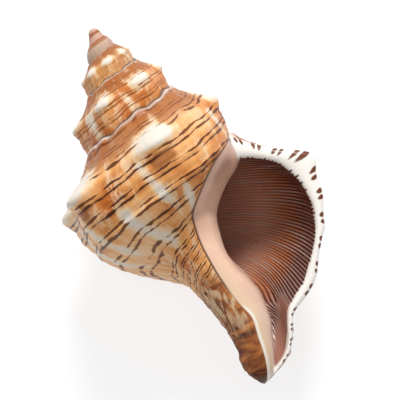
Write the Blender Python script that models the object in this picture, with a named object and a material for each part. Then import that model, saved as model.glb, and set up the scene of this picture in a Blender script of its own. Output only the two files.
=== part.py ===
"""A fox shell (a small horse conch): one closed body, lying on its back with its mouth up.

The shell is a tube wound round an axis. Each turn is a copy of the one before it, larger by
GROWTH, with its centre of growth at the apex. A place on the wall is given by

    turn    turns before the lip: 0 at the lip, 1 one whorl earlier, and so on
    level   distance along the axis from the centre of growth, in millimetres

and the outlines below are those of the lip, so a place `turn` turns earlier uses them shrunk by
GROWTH ** -turn. Axes before the shell is laid down: +X to the lip, +Y to the apex, +Z out of
the mouth. Outlines are in millimetres and the mesh is in metres.
"""

import math

import bmesh
import bpy
import numpy as np
from mathutils import Matrix

MM = 0.001

# Growth
GROWTH = 1.77  # how much larger each turn is than the one before it
APEX_LEVEL = 2.2  # the apex lies this far below the centre of growth
TIP_LEVEL = 132.5  # the end of the siphonal canal
SUTURE_LEVEL = 52.9  # the seam where the lip meets the turn before it
SUTURE_RADIUS = 24.7
COVER_LEVEL = SUTURE_LEVEL * GROWTH  # the next turn covers the wall below this level
SPIRE_TURNS = 4  # whorls with a seam; a cone closes the apex above them
CONE_START = SPIRE_TURNS - 0.8  # the whorls lose their shoulders from here on

# The wall between two knobs: (level, radius). It starts and ends on the seam.
WALL_OUTLINE = [
    (SUTURE_LEVEL, SUTURE_RADIUS),
    (57.0, 28.8),
    (62.0, 33.8),
    (67.0, 37.6),
    (72.0, 40.2),
    (78.0, 42.0),
    (86.0, 43.4),
    (COVER_LEVEL, SUTURE_RADIUS * GROWTH),
    (98.0, 40.4),
    (102.0, 35.6),
    (106.0, 29.8),
    (111.0, 21.0),
    (115.0, 13.4),
    (119.0, 5.6),
    (122.0, 0.0),
]
# The last turn draws in here by this much: (level, spread, depth).
DRAW_IN = (94.0, 9.0, 3.6)
DRAW_IN_TURNS = (0.55, 1.0)  # fading out between these turns
# The lip flares out beside the canal, over the last third of a turn.
FLARE = (112.0, 7.0, 6.5)
FLARE_TURNS = 0.32

# The siphonal canal, a shaft beside the axis: (level, left edge, right edge, half depth).
CANAL_OUTLINE = [
    (74.0, -14.0, 12.0, 13.0),
    (84.0, -10.4, 13.0, 11.6),
    (94.0, -7.2, 15.0, 10.4),
    (104.0, -4.4, 17.0, 9.8),
    (112.0, -2.6, 18.6, 9.6),
    (118.0, -2.2, 17.2, 9.0),
    (123.0, -3.0, 14.6, 7.8),
    (127.0, -2.6, 11.6, 6.0),
    (130.0, -1.6, 6.4, 4.0),
    (131.6, -0.9, 3.0, 2.2),
    (TIP_LEVEL, -0.1, 0.3, 0.1),
]
CANAL_CENTRE_DEPTH = -1.0
CANAL_START, CANAL_FULL = 60.0, 76.0  # levels between which the shaft comes out of the wall
BLEND_WIDTH = 3.0  # of the fillet between whorl and canal
BLEND_END = 6.0  # it fades over this much of the tip

# Knobs on the shoulder: (turn, height). The early whorls carry eight a turn.
KNOBS = [
    (0.0, 7.5),
    (0.145, 9.0),
    (0.31, 7.5),
    (0.455, 9.5),
    (0.59, 10.4),
    (0.778, 9.5),
    (1.0, 8.0),
    (1.18, 7.5),
    (1.35, 7.5),
    (1.50, 8.5),
    (1.68, 8.0),
    (1.825, 7.5),
    (2.0, 7.5),
]
EARLY_KNOB_SPACING = 0.125
EARLY_KNOB_HEIGHT = 6.0
KNOB_LEVEL = 71.2
KNOB_ABOVE, KNOB_BELOW = 6.0, 5.0  # how far it spreads to the seam and away from it
KNOB_HALF_WIDTH = 0.042  # turns
KNOB_FADE = 8.0  # knobs fade out over this much below the seam
RIB_SHARE = 0.30  # the rib below a knob, as a share of its height
RIB_START, RIB_END = KNOB_LEVEL + 6.0, 92.0

# The edge of the callus, glazed over the turn before: (share of the way to the tip, turn).
CALLUS_EDGE = [
    (0.0, 1.0),
    (0.01, 0.93),
    (0.03, 0.875),
    (0.09, 0.832),
    (0.19, 0.779),
    (0.30, 0.767),
    (0.42, 0.774),
    (0.53, 0.792),
    (0.62, 0.818),
    (0.71, 0.842),
    (0.80, 0.834),
    (1.0, 0.828),
]
CALLUS_START = 0.66  # columns older than this turn stay straight

# The mouth, in the plane of the lip: (level, radius) of its outer and its columella side.
MOUTH_TOP, MOUTH_BOTTOM = 61.8, 129.2
MOUTH_OUTER = [
    (MOUTH_TOP, 25.5),
    (64.5, 30.6),
    (69.0, 36.0),
    (74.1, 38.6),
    (79.2, 40.0),
    (85.0, 40.2),
    (91.6, 38.4),
    (97.5, 35.2),
    (103.5, 30.2),
    (107.4, 26.6),
    (110.6, 21.8),
    (113.6, 17.8),
    (117.4, 15.6),
    (122.2, 13.4),
    (126.2, 10.4),
    (MOUTH_BOTTOM, 5.6),
]
MOUTH_INNER = [
    (MOUTH_TOP, 25.5),
    (64.2, 23.0),
    (67.7, 17.4),
    (72.2, 12.5),
    (76.2, 9.9),
    (80.2, 8.7),
    (87.0, 7.6),
    (93.4, 8.8),
    (99.2, 11.0),
    (104.5, 12.2),
    (113.0, 11.6),
    (118.4, 9.8),
    (124.8, 7.4),
    (MOUTH_BOTTOM, 5.6),
]
# The same deeper in, where the hollow has left the canal and its walls are thin.
HOLLOW_TOP, HOLLOW_BOTTOM = 57.5, 110.5
HOLLOW_OUTER = [
    (HOLLOW_TOP, 24.0),
    (59.5, 28.6),
    (62.0, 31.2),
    (67.0, 35.0),
    (72.0, 37.8),
    (78.0, 39.6),
    (86.0, 41.0),
    (92.0, 41.0),
    (97.0, 38.4),
    (101.0, 34.0),
    (105.0, 28.0),
    (108.5, 20.0),
    (HOLLOW_BOTTOM, 9.0),
]
HOLLOW_INNER = [
    (HOLLOW_TOP, 24.0),
    (58.5, 20.8),
    (62.0, 15.2),
    (66.0, 10.2),
    (72.0, 8.0),
    (80.0, 7.0),
    (95.0, 7.0),
    (105.0, 7.6),
    (HOLLOW_BOTTOM, 9.0),
]
HOLLOW_START = 0.3  # turns from the mouth to there
THINNEST_WALL = 2.2  # at the lip's scale
# Which level of the mouth faces which level of the rim.
LIP_TO_MOUTH = [
    (SUTURE_LEVEL, MOUTH_TOP),
    (61.9, 65.2),
    (70.7, 72.8),
    (88.2, 87.7),
    (101.8, 99.7),
    (111.2, 108.7),
    (118.0, 117.5),
    (126.7, 126.2),
    (TIP_LEVEL, MOUTH_BOTTOM),
]
CALLUS_TO_MOUTH = [
    (SUTURE_LEVEL, MOUTH_TOP),
    (56.2, 63.4),
    (64.0, 68.6),
    (69.6, 73.0),
    (82.0, 81.6),
    (97.2, 97.2),
    (115.6, 114.6),
    (125.6, 124.4),
    (TIP_LEVEL, MOUTH_BOTTOM),
]
LIP_ROUNDING = 1.5  # how far the edge of the lip bulges out of its plane
MOUTH_TURNS = 2.0  # how far round the axis the hollow goes

# How fine the mesh is
COLUMNS = 36  # per turn
SPIRE_ROWS = 12  # from seam to seam
LOWER_ROWS = 22  # from there to the tip
LOWER_SPREAD = 1.35  # above 1, they lie closer together at their start
LIP_LOOPS = 6  # from the rim to the mouth
INNER_LOOPS = 34  # from the mouth to the end of the hollow
INNER_SPREAD = 1.25

# How the shell lies on the two knobs at its back and the belly between them: turned about its
# axis, then tipped with the canal down.
ROLL = math.radians(0.36)
PITCH = math.radians(2.25)


def curve_through(points):
    """A smooth curve through (place, value) points that never swings past them."""
    place, value = np.array(points, float).T
    step = np.diff(place)
    slope = np.diff(value) / step
    tangent = np.zeros(len(place))
    before, after = slope[:-1], slope[1:]
    rising = before * after > 0
    tangent[1:-1][rising] = 2 * (before * after)[rising] / (before + after)[rising]
    tangent[0], tangent[-1] = slope[0], slope[-1]

    def at(where):
        where = np.clip(where, place[0], place[-1])
        i = np.clip(np.searchsorted(place, where, side="right") - 1, 0, len(step) - 1)
        t = (where - place[i]) / step[i]
        start = value[i] * (1 + 2 * t) * (1 - t) ** 2 + value[i + 1] * t * t * (3 - 2 * t)
        bend = tangent[i] * t * (1 - t) ** 2 - tangent[i + 1] * t * t * (1 - t)
        return start + bend * step[i]

    return at


def smooth_step(low, high, value):
    t = np.clip((value - low) / (high - low), 0, 1)
    return t * t * (3 - 2 * t)


wall_outline = curve_through(WALL_OUTLINE)
canal_left = curve_through([(level, left) for level, left, right, depth in CANAL_OUTLINE])
canal_right = curve_through([(level, right) for level, left, right, depth in CANAL_OUTLINE])
canal_depth = curve_through([(level, depth) for level, left, right, depth in CANAL_OUTLINE])
callus_edge = curve_through(CALLUS_EDGE)
mouth_outer = curve_through(MOUTH_OUTER)
mouth_inner = curve_through(MOUTH_INNER)
hollow_outer = curve_through(HOLLOW_OUTER)
hollow_inner = curve_through(HOLLOW_INNER)
lip_to_mouth = curve_through(LIP_TO_MOUTH)
callus_to_mouth = curve_through(CALLUS_TO_MOUTH)


def shrink(turn):
    return GROWTH**-turn


def all_knobs():
    """The knobs of the last two turns, then the even ones of the early whorls."""
    last = KNOBS[-1][0]
    early = int((SPIRE_TURNS + 1 - last) / EARLY_KNOB_SPACING)
    return KNOBS + [
        (last + EARLY_KNOB_SPACING * n, EARLY_KNOB_HEIGHT) for n in range(1, early)
    ]


def knob_relief(turn, level):
    """How far knobs and their ribs stand out of the wall, at the lip's scale."""
    above = np.exp(-(((level - KNOB_LEVEL) / KNOB_ABOVE) ** 2))
    below = np.exp(-(((level - KNOB_LEVEL) / KNOB_BELOW) ** 2))
    rib = RIB_SHARE * (1 - smooth_step(RIB_START, RIB_END, level))
    down = np.where(level < KNOB_LEVEL, above, np.maximum(below, below * (1 - rib) + rib))
    ends = smooth_step(SUTURE_LEVEL, SUTURE_LEVEL + KNOB_FADE, level)
    across = sum(
        height * np.exp(-(((turn - where) / KNOB_HALF_WIDTH) ** 2))
        for where, height in all_knobs()
    )
    return across * down * ends


def canal_radius(turn, level):
    """Distance from the axis to the canal's oval shaft, in the direction of this turn."""
    left, right = canal_left(level), canal_right(level)
    centre, half_width, half_depth = (left + right) / 2, (right - left) / 2, canal_depth(level)
    depth = CANAL_CENTRE_DEPTH * half_depth / CANAL_OUTLINE[0][3]
    across, out = np.cos(2 * np.pi * turn), -np.sin(2 * np.pi * turn)
    a = (across / half_width) ** 2 + (out / half_depth) ** 2
    b = centre * across / half_width**2 + depth * out / half_depth**2
    c = (centre / half_width) ** 2 + (depth / half_depth) ** 2 - 1
    return (b + np.sqrt(b * b - a * c)) / a * smooth_step(CANAL_START, CANAL_FULL, level)


def swelling(level, form):
    centre, spread, height = form
    return height * np.exp(-(((level - centre) / spread) ** 2))


def wall_radius(turn, level):
    """The outside of the shell: whorl, knobs and canal in one."""
    scale = shrink(turn)
    own = level / scale
    drawn = swelling(own, DRAW_IN) * (1 - smooth_step(*DRAW_IN_TURNS, turn))
    flare = swelling(own, FLARE) * (1 - smooth_step(0, FLARE_TURNS, turn))
    whorl = wall_outline(own) + knob_relief(turn, own) - drawn + flare
    cone = own * SUTURE_RADIUS / SUTURE_LEVEL
    whorl = scale * (whorl + (cone - whorl) * smooth_step(CONE_START, SPIRE_TURNS, turn))
    canal = np.where(turn < 1, canal_radius(turn, level), 0)
    blend = np.where(canal > 0, BLEND_WIDTH * smooth_step(0, BLEND_WIDTH, canal), 0)
    blend = blend * smooth_step(0, BLEND_END, TIP_LEVEL - level)
    return (whorl + canal + np.sqrt((whorl - canal) ** 2 + blend**2)) / 2


def place(turn, level, radius):
    """Turn, level and radius as a point, in millimetres."""
    angle = 2 * np.pi * turn
    return np.stack([radius * np.cos(angle), APEX_LEVEL - level, -radius * np.sin(angle)], -1)


class Skin:
    """Points and faces of the one closed surface, gathered as they are made."""

    def __init__(self):
        self.points = []
        self.faces = []

    def add(self, points):
        first = len(self.points)
        self.points.extend(np.reshape(points, (-1, 3)))
        return np.arange(first, len(self.points))

    def strip(self, one, other):
        """Faces between two rows of points of the same length, outside on the left of `one`."""
        for a, b, c, d in zip(one[:-1], one[1:], other[1:], other[:-1]):
            corners = list(dict.fromkeys([a, b, c, d]))
            if len(corners) > 2:
                self.faces.append(corners)


def make_outside(skin):
    """The outer wall as a grid of columns (turn) and rows (level); returns the mouth's rim."""
    rows = SPIRE_ROWS + LOWER_ROWS
    columns = COLUMNS * SPIRE_TURNS
    turns = np.arange(columns + 1) / COLUMNS
    grid = np.full((columns + 1, rows + 1), -1)
    upper = SUTURE_LEVEL + (COVER_LEVEL - SUTURE_LEVEL) * np.arange(SPIRE_ROWS + 1) / SPIRE_ROWS
    for column in range(columns, -1, -1):
        turn = turns[column]
        first = 1 if column + COLUMNS <= columns else 0
        level = upper[first:] * shrink(turn)
        grid[column, first : SPIRE_ROWS + 1] = skin.add(
            place(np.full(len(level), turn), level, wall_radius(turn, level))
        )
        if first:  # the seam is the last row of the turn before
            grid[column, 0] = grid[column + COLUMNS, SPIRE_ROWS]

    grid[COLUMNS, SPIRE_ROWS] = grid[0, 0]
    tip = skin.add([0, APEX_LEVEL - TIP_LEVEL, 0])[0]
    share = (np.arange(1, LOWER_ROWS) / LOWER_ROWS) ** LOWER_SPREAD
    for column in range(COLUMNS + 1):
        straight = column / COLUMNS
        pulled = CALLUS_START + (straight - CALLUS_START) * (
            callus_edge(share) - CALLUS_START
        ) / (1 - CALLUS_START)
        turn = np.where(straight > CALLUS_START, pulled, straight)
        start = COVER_LEVEL * shrink(turn)
        level = start + (TIP_LEVEL - start) * share
        grid[column, SPIRE_ROWS + 1 : rows] = skin.add(
            place(turn, level, wall_radius(turn, level))
        )
        grid[column, rows] = tip

    for column in range(columns):
        last = rows if column < COLUMNS else SPIRE_ROWS
        skin.strip(grid[column, : last + 1], grid[column + 1, : last + 1])

    crown = skin.add([0, 0, 0])[0]
    edge = list(grid[columns - COLUMNS :, 0]) + list(grid[columns, 1 : SPIRE_ROWS + 1])
    skin.strip(edge, [crown] * len(edge))
    return grid[0, :], grid[COLUMNS, SPIRE_ROWS:]


def section(outer_levels, inner_levels, outer, inner):
    """Level and radius once round the hollow: down its outer side and back up its inner one."""
    inner_levels = inner_levels[::-1][1:-1]
    level = np.concatenate([outer_levels, inner_levels])
    return level, np.concatenate([outer(outer_levels), inner(inner_levels)])


def into_hollow(level):
    """The level deep in the hollow that a level of the mouth leads to."""
    share = (level - MOUTH_TOP) / (MOUTH_BOTTOM - MOUTH_TOP)
    return HOLLOW_TOP + (HOLLOW_BOTTOM - HOLLOW_TOP) * share


def make_hollow(skin, lip, callus):
    """From the rim over the lip and the callus into the mouth, and on round the axis."""
    points = np.array(skin.points)
    rim = np.concatenate([lip, callus[::-1][1:-1]])
    outer = lip_to_mouth(APEX_LEVEL - points[lip][:, 1])
    inner = callus_to_mouth(APEX_LEVEL - points[callus][:, 1])
    mouth_level, mouth_radius = section(outer, inner, mouth_outer, mouth_inner)
    deep_level, deep_radius = section(
        into_hollow(outer), into_hollow(inner), hollow_outer, hollow_inner
    )
    x, y, z = points[rim].T
    on_lip = np.arange(len(rim)) < len(lip)
    rim_turn = np.arctan2(-z, x) / (2 * np.pi)
    rim_radius = np.hypot(x, z)
    loops = [rim]
    for step in range(1, LIP_LOOPS + 1):
        share = step / LIP_LOOPS
        over = (1 - math.cos(math.pi * share)) / 2
        level = APEX_LEVEL - y + (mouth_level - APEX_LEVEL + y) * over
        radius = rim_radius + (mouth_radius - rim_radius) * over
        turn = rim_turn * (1 - np.where(on_lip, over, share))
        loop = place(turn, level, radius)
        loop[:, 2] += np.where(on_lip, LIP_ROUNDING * math.sin(math.pi * share), 0)
        loops.append(skin.add(loop))
    for step in range(1, INNER_LOOPS + 1):
        turn = MOUTH_TURNS * (step / INNER_LOOPS) ** INNER_SPREAD
        deep = smooth_step(0, HOLLOW_START, turn)
        level = (mouth_level + (deep_level - mouth_level) * deep) * shrink(turn)
        radius = (mouth_radius + (deep_radius - mouth_radius) * deep) * shrink(turn)
        radius = np.minimum(radius, wall_radius(turn, level) - THINNEST_WALL * shrink(turn))
        loops.append(skin.add(place(turn, level, radius)))
    for outer, inner in zip(loops[:-1], loops[1:]):
        skin.strip(np.append(outer, outer[0]), np.append(inner, inner[0]))
    end = np.array(skin.points)[loops[-1]].mean(axis=0)
    middle = skin.add(end)[0]
    skin.strip(np.append(loops[-1], loops[-1][0]), [middle] * (len(rim) + 1))


def lay_down(points):
    """Rolls and tips the shell as it rests, and sets its box's bottom centre on the origin."""
    turned = Matrix.Rotation(PITCH, 3, "X") @ Matrix.Rotation(ROLL, 3, "Y")
    points = points @ np.array(turned).T
    low, high = points.min(axis=0), points.max(axis=0)
    return points - [(low[0] + high[0]) / 2, (low[1] + high[1]) / 2, low[2]]


def shell_material():
    material = bpy.data.materials.new("shell")
    material.use_nodes = True
    surface = material.node_tree.nodes["Principled BSDF"]
    surface.inputs["Base Color"].default_value = (0.68, 0.33, 0.12, 1)
    surface.inputs["Roughness"].default_value = 0.3
    surface.inputs["Metallic"].default_value = 0
    return material


def make_shell():
    skin = Skin()
    lip, callus = make_outside(skin)
    make_hollow(skin, lip, callus)
    points = lay_down(np.array(skin.points) * MM)
    mesh = bpy.data.meshes.new("shell")
    mesh.from_pydata(points.tolist(), [], [[int(i) for i in face] for face in skin.faces])
    form = bmesh.new()
    form.from_mesh(mesh)
    bmesh.ops.triangulate(form, faces=form.faces)
    bmesh.ops.recalc_face_normals(form, faces=form.faces)
    form.to_mesh(mesh)
    form.free()
    mesh.shade_smooth()
    mesh.materials.append(shell_material())
    shell = bpy.data.objects.new("shell", mesh)
    bpy.context.collection.objects.link(shell)


def main():
    for obj in list(bpy.data.objects):
        bpy.data.objects.remove(obj)
    make_shell()


main()
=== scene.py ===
"""A fox shell, whole and empty, lying on a pale table with its mouth up.

The shell is a tube wound round an axis. Each turn is a copy of the one before it, larger by
GROWTH, and all of them share one centre of growth near the apex. A net of points is laid out by

    turn    turns before the lip: 0 at the lip, 1 one whorl earlier, and so on
    level   distance along the axis from the centre of growth, in millimetres
    radius  distance from the axis, in millimetres

and the Geometry Nodes tree "grow_shell" winds that net round the axis, raises the knobs, cords,
growth lines and lirae on it, and lays the shell down as it rests. The outlines below are those of
the lip; a place `turn` turns earlier uses them shrunk by GROWTH ** -turn.
"""

import math

import bpy
import numpy as np
from mathutils import Matrix, Vector


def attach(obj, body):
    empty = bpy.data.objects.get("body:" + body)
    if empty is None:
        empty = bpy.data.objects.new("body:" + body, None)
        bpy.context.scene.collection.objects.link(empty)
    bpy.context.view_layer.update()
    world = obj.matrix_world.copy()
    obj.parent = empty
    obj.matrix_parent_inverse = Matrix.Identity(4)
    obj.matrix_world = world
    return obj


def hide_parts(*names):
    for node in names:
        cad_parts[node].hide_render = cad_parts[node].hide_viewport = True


bl_info = {
    "name": "Fox shell",
    "version": (1, 0, 0),
    "blender": (4, 5, 0),
    "location": "View3D > Sidebar > Fox shell",
    "description": "Grows a fox shell and sets it on a pale table",
    "category": "Object",
}

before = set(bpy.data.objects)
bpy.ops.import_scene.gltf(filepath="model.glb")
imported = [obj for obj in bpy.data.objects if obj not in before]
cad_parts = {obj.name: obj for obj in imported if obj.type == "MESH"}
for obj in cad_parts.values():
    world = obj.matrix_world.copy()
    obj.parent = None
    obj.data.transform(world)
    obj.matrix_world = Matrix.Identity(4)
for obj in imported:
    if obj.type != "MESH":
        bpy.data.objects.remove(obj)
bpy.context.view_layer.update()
MM = 0.001

# Growth
GROWTH = 1.77
APEX_LEVEL = 2.2
CROWN_LEVEL = 1.9  # the top of the first, blunt whorl
CROWN_RADIUS = 1.9
TIP_LEVEL = 132.5
SUTURE_LEVEL = 52.9
SUTURE_RADIUS = 24.7
COVER_LEVEL = SUTURE_LEVEL * GROWTH
SPIRE_TURNS = 5
CONE_TURNS = (3.9, 4.6)  # the whorls lose their shoulders between these turns

# The wall between two knobs: (level, radius). It starts and ends on the seam.
WALL_OUTLINE = [
    (SUTURE_LEVEL, SUTURE_RADIUS),
    (57.0, 28.8),
    (62.0, 33.8),
    (67.0, 37.6),
    (72.0, 40.2),
    (78.0, 42.0),
    (86.0, 43.4),
    (COVER_LEVEL, SUTURE_RADIUS * GROWTH),
    (98.0, 40.4),
    (102.0, 35.6),
    (106.0, 29.8),
    (111.0, 21.0),
    (115.0, 13.4),
    (119.0, 5.6),
    (122.0, 0.0),
]
DRAW_IN = (94.0, 9.0, 3.6)  # the last turn draws in here: (level, spread, depth)
DRAW_IN_TURNS = (0.55, 1.0)
FLARE = (112.0, 7.0, 6.5)  # the lip flares out beside the canal
FLARE_TURNS = 0.32

# The siphonal canal, a shaft beside the axis: (level, left edge, right edge, half depth).
CANAL_OUTLINE = [
    (74.0, -14.0, 12.0, 13.0),
    (84.0, -10.4, 13.0, 11.6),
    (94.0, -7.2, 15.0, 10.4),
    (104.0, -4.4, 17.0, 9.8),
    (112.0, -2.6, 18.6, 9.6),
    (118.0, -2.2, 17.2, 9.0),
    (123.0, -3.0, 14.6, 7.8),
    (127.0, -2.6, 11.6, 6.0),
    (130.0, -1.6, 6.4, 4.0),
    (131.6, -0.9, 3.0, 2.2),
    (TIP_LEVEL, -0.1, 0.3, 0.1),
]
CANAL_CENTRE_DEPTH = -1.0
CANAL_START, CANAL_FULL = 60.0, 76.0
BLEND_WIDTH = 3.0
BLEND_END = 6.0

# Knobs on the shoulder: (turn, height). The early whorls carry eight a turn.
KNOBS = [
    (0.0, 7.5),
    (0.145, 9.0),
    (0.31, 7.5),
    (0.455, 9.5),
    (0.59, 10.4),
    (0.770, 9.5),
    (1.0, 8.0),
    (1.18, 7.5),
    (1.35, 7.5),
    (1.50, 8.5),
    (1.68, 8.0),
    (1.825, 7.5),
    (2.0, 7.5),
]
EARLY_KNOB_SPACING = 0.125
EARLY_KNOB_HEIGHT = 6.0
KNOBS_END = 3.6
KNOB_LEVEL = 71.2
CAP_LEVEL = 69.0  # the middle of a knob's white cap
KNOB_ABOVE, KNOB_BELOW = 6.0, 5.0
KNOB_HALF_WIDTH = 0.042  # turns
RIB_SHARE = 0.42  # the rib below a knob, as a share of its height
RIB_START, RIB_END = KNOB_LEVEL + 8, 102.0
# Underneath, where the shell lies, knobs and ribs are lower: (turn, spread in turns).
UNDERNEATH = (0.26, 0.17)
KNOB_UNDER, RIB_UNDER = 0.06, 0.16

# The edge of the callus, glazed over the turn before: (share of the way to the tip, turn).
CALLUS_EDGE = [
    (0.0, 1.0),
    (0.01, 0.93),
    (0.03, 0.875),
    (0.09, 0.832),
    (0.19, 0.779),
    (0.30, 0.767),
    (0.42, 0.774),
    (0.53, 0.792),
    (0.62, 0.818),
    (0.71, 0.842),
    (0.80, 0.834),
    (1.0, 0.828),
]
CALLUS_START = 0.66

# The mouth, in the plane of the lip: (level, radius) of its outer and its columella side.
MOUTH_TOP, MOUTH_BOTTOM = 61.8, 129.2
MOUTH_OUTER = [
    (MOUTH_TOP, 25.5),
    (64.5, 30.6),
    (69.0, 36.0),
    (74.1, 38.6),
    (79.2, 40.0),
    (85.0, 40.2),
    (91.6, 38.4),
    (97.5, 35.2),
    (103.5, 30.2),
    (107.4, 26.6),
    (110.6, 21.8),
    (113.6, 17.8),
    (117.4, 15.6),
    (122.2, 13.4),
    (126.2, 10.4),
    (MOUTH_BOTTOM, 5.6),
]
MOUTH_INNER = [
    (MOUTH_TOP, 25.5),
    (64.2, 23.0),
    (67.7, 17.4),
    (72.2, 12.5),
    (76.2, 9.9),
    (80.2, 8.7),
    (87.0, 7.6),
    (93.4, 8.8),
    (99.2, 11.0),
    (104.5, 12.2),
    (113.0, 11.6),
    (118.4, 9.8),
    (124.8, 7.4),
    (MOUTH_BOTTOM, 5.6),
]
# The same deeper in, where the hollow has left the canal.
HOLLOW_TOP, HOLLOW_BOTTOM = 57.5, 110.5
HOLLOW_OUTER = [
    (HOLLOW_TOP, 24.0),
    (59.5, 28.6),
    (62.0, 31.2),
    (67.0, 35.0),
    (72.0, 37.8),
    (78.0, 39.6),
    (86.0, 41.0),
    (92.0, 41.0),
    (97.0, 38.4),
    (101.0, 34.0),
    (105.0, 28.0),
    (108.5, 20.0),
    (HOLLOW_BOTTOM, 9.0),
]
HOLLOW_INNER = [
    (HOLLOW_TOP, 24.0),
    (58.5, 20.8),
    (62.0, 15.2),
    (66.0, 10.2),
    (72.0, 8.0),
    (80.0, 7.0),
    (95.0, 7.0),
    (105.0, 7.6),
    (HOLLOW_BOTTOM, 9.0),
]
HOLLOW_START = 0.3  # turns from the mouth to there
THINNEST_WALL = 2.2
# Which level of the mouth faces which level of the rim.
LIP_TO_MOUTH = [
    (SUTURE_LEVEL, MOUTH_TOP),
    (61.9, 65.2),
    (70.7, 72.8),
    (88.2, 87.7),
    (101.8, 99.7),
    (111.2, 108.7),
    (118.0, 117.5),
    (126.7, 126.2),
    (TIP_LEVEL, MOUTH_BOTTOM),
]
CALLUS_TO_MOUTH = [
    (SUTURE_LEVEL, MOUTH_TOP),
    (56.2, 63.4),
    (64.0, 68.6),
    (69.6, 73.0),
    (82.0, 81.6),
    (97.2, 97.2),
    (115.6, 114.6),
    (125.6, 124.4),
    (TIP_LEVEL, MOUTH_BOTTOM),
]
LIP_ROUNDING = 1.5
MOUTH_TURNS = 1.6  # how far round the axis the hollow is followed

# Painted bands: (level at the lip, number of the band). A band holds one pair of brown lines.
BANDS = [
    (SUTURE_LEVEL, -1.1),
    (60.0, 0.5),
    (64.6, 1.5),
    (68.6, 2.5),
    (77.0, 3.5),
    (84.0, 4.5),
    (91.7, 5.5),
    (98.6, 6.5),
    (105.6, 7.5),
    (111.2, 8.5),
    (115.4, 9.5),
    (119.4, 10.5),
    (220.0, 33.0),
]
BAND_CENTRE, BAND_DRIFT = 80.0, 0.3  # bands draw together towards the lip

# Pale streaks down the wall: (turn, half width in turns, first level, last level, strength).
STREAKS = [
    (0.05, 0.012, 74, 112, 0.8),
    (0.19, 0.014, 74, 108, 0.8),
    (0.36, 0.016, 72, 110, 0.9),
    (0.50, 0.014, 74, 112, 0.8),
    (0.560, 0.016, 76, 108, 0.9),
    (0.640, 0.018, 88, 116, 1.0),
    (0.718, 0.012, 74, 100, 0.9),
    (0.760, 0.016, 96, 112, 0.8),
    (0.93, 0.014, 72, 100, 0.8),
    (1.08, 0.02, 72, 95, 0.7),
    (1.26, 0.02, 72, 95, 0.7),
    (1.43, 0.02, 70, 95, 0.7),
    (1.60, 0.03, 68, 95, 0.9),
    (1.75, 0.02, 70, 95, 0.7),
]

STREAK_SHARE = 0.85
STREAK_LEAN = 0.0009  # turns to the millimetre
# White caps: (strength, spread above, spread below, half width in turns). Older ones are weaker.
CAPS = (1.5, 6.0, 5.0, 0.042)
OLDER_CAPS, OLDER_CAPS_FROM = 0.25, (0.92, 1.08)
# White ribs below the caps of the spire: (strength, half width), from level to level
CAP_RIBS, CAP_RIB_LEVELS, CAP_RIBS_FROM = (0.3, 0.03), (66, 72), (1.0, 1.2)
# The brown patch below each cap, partly the wall's own colour and partly painted shade under the
# knob: (level below the cap, spread), (turn from the knob, half width)
BROWN_AND_SHADE_PATCH, BROWN_AND_SHADE_PATCH_TURN, BROWN_AND_SHADE_PATCH_UNTIL = (10, 4.5), (-0.006, 0.03), (1.3, 0.9)

# A seam's wander: (waves to the turn, height in millimetres) of a slow and a fast wave
SEAM_SLOW, SEAM_FAST = (6.3, 0.8), (15.1, 0.45)
SEAM_REACH = 5.0  # how far from the seam it is felt, in millimetres
SEAM_STEADY = (0.02, 0.1)  # it starts between these turns from the lip
SEAM_EDGE = 0.05  # relief fades out over this share of a whorl at each seam

# The canal's brown crust begins between these levels, further up at one side: (turn, spread)
CRUST_LEVELS, CRUST_SIDE, CRUST_REACH = (94, 112), (0.7, 0.16), 8
# The mouth turns smooth between these levels, which ends this far in
THROAT_LEVELS, THROAT_DEPTH = (109.5, 115.5), (4, 14)
COLUMELLA_EDGE = 0.03

# How the shell lies: turned about its axis, tipped with the canal down, then moved.
ROLL = math.radians(0.36)
PITCH = math.radians(2.25)
REST_PLACE = (-5.6983, 65.0998, 39.5696)

# How fine the net is
COLUMNS = 220  # per turn
WHORL_ROWS = [64, 44, 30, 18, 10]  # from seam to seam, the last whorl first
LOWER_ROWS = 108
LOWER_SPREAD = 1.35
CROWN_RINGS = 6
LIP_LOOPS = 10
INNER_LOOPS = 50
INNER_SPREAD = 1.8
OUTER_ARC = 320  # points across the mouth along the outer lip
INNER_ARC = 90

# Inputs of the tree "grow_shell": the property each takes, and its unit. Heights are in
# millimetres at the lip's scale there, and in metres in the panel.
RELIEF_INPUTS = {
    "Knob height": ("knob_height", 1.0),
    "Cord height": ("cord_height", MM),
    "Growth line height": ("growth_line_height", MM),
    "Fold height": ("fold_height", MM),
    "Seam lip": ("seam_lip", MM),
    "Ring height": ("ring_height", MM),
    "Unevenness": ("unevenness", MM),
    "Unevenness scale": ("unevenness_scale", 1.0),
    "Lira spacing": ("lira_spacing", MM),
    "Lira height": ("lira_height", MM),
    "Callus thickness": ("callus_thickness", MM),
    "Seed": ("seed", 1.0),
}

# Noise that follows the growth: repeats per turn, repeats per band, and which pattern. At the
# shoulder a turn is about 250 mm round, and a band about 7.5 mm wide.
GROWTH_PATTERNS = {
    "streak": (34.0, 0.5, 0.0),  # 7 mm across, 15 mm down the wall
    "hair": (190.0, 2.2, 6.0),  # 1.3 mm across, 3.4 mm down: finer growth streaks
    "waver": (26.0, 0.6, 3.0),  # 10 mm along a line
    "sway": (13.0, 0.28, 5.0),  # 19 mm along a line
    "breaks": (32.0, 2.6, 8.0),  # 8 mm along a line, and its own for each line
}
LINE_OFFSET = 0.15  # each of a band's two lines, from the middle of the band, in bands
BAND_AT_LIP = 7.5  # mm

# The middle of the view, in the plane of the lip: to the lip and to the apex, in mm
VIEW_CENTRE = (7.46, -66.25)
LIGHT_AIM = (0.0, 0.0, 0.03)
# Lights: (name, place, size, share of the power)
SOFT_LIGHTS = [
    ("key_light", (0.36, 0.70, 0.66), 0.3, 1.12),
    ("top_light", (-0.1, 0.0, 1.2), 0.9, 0.28),
]


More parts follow.
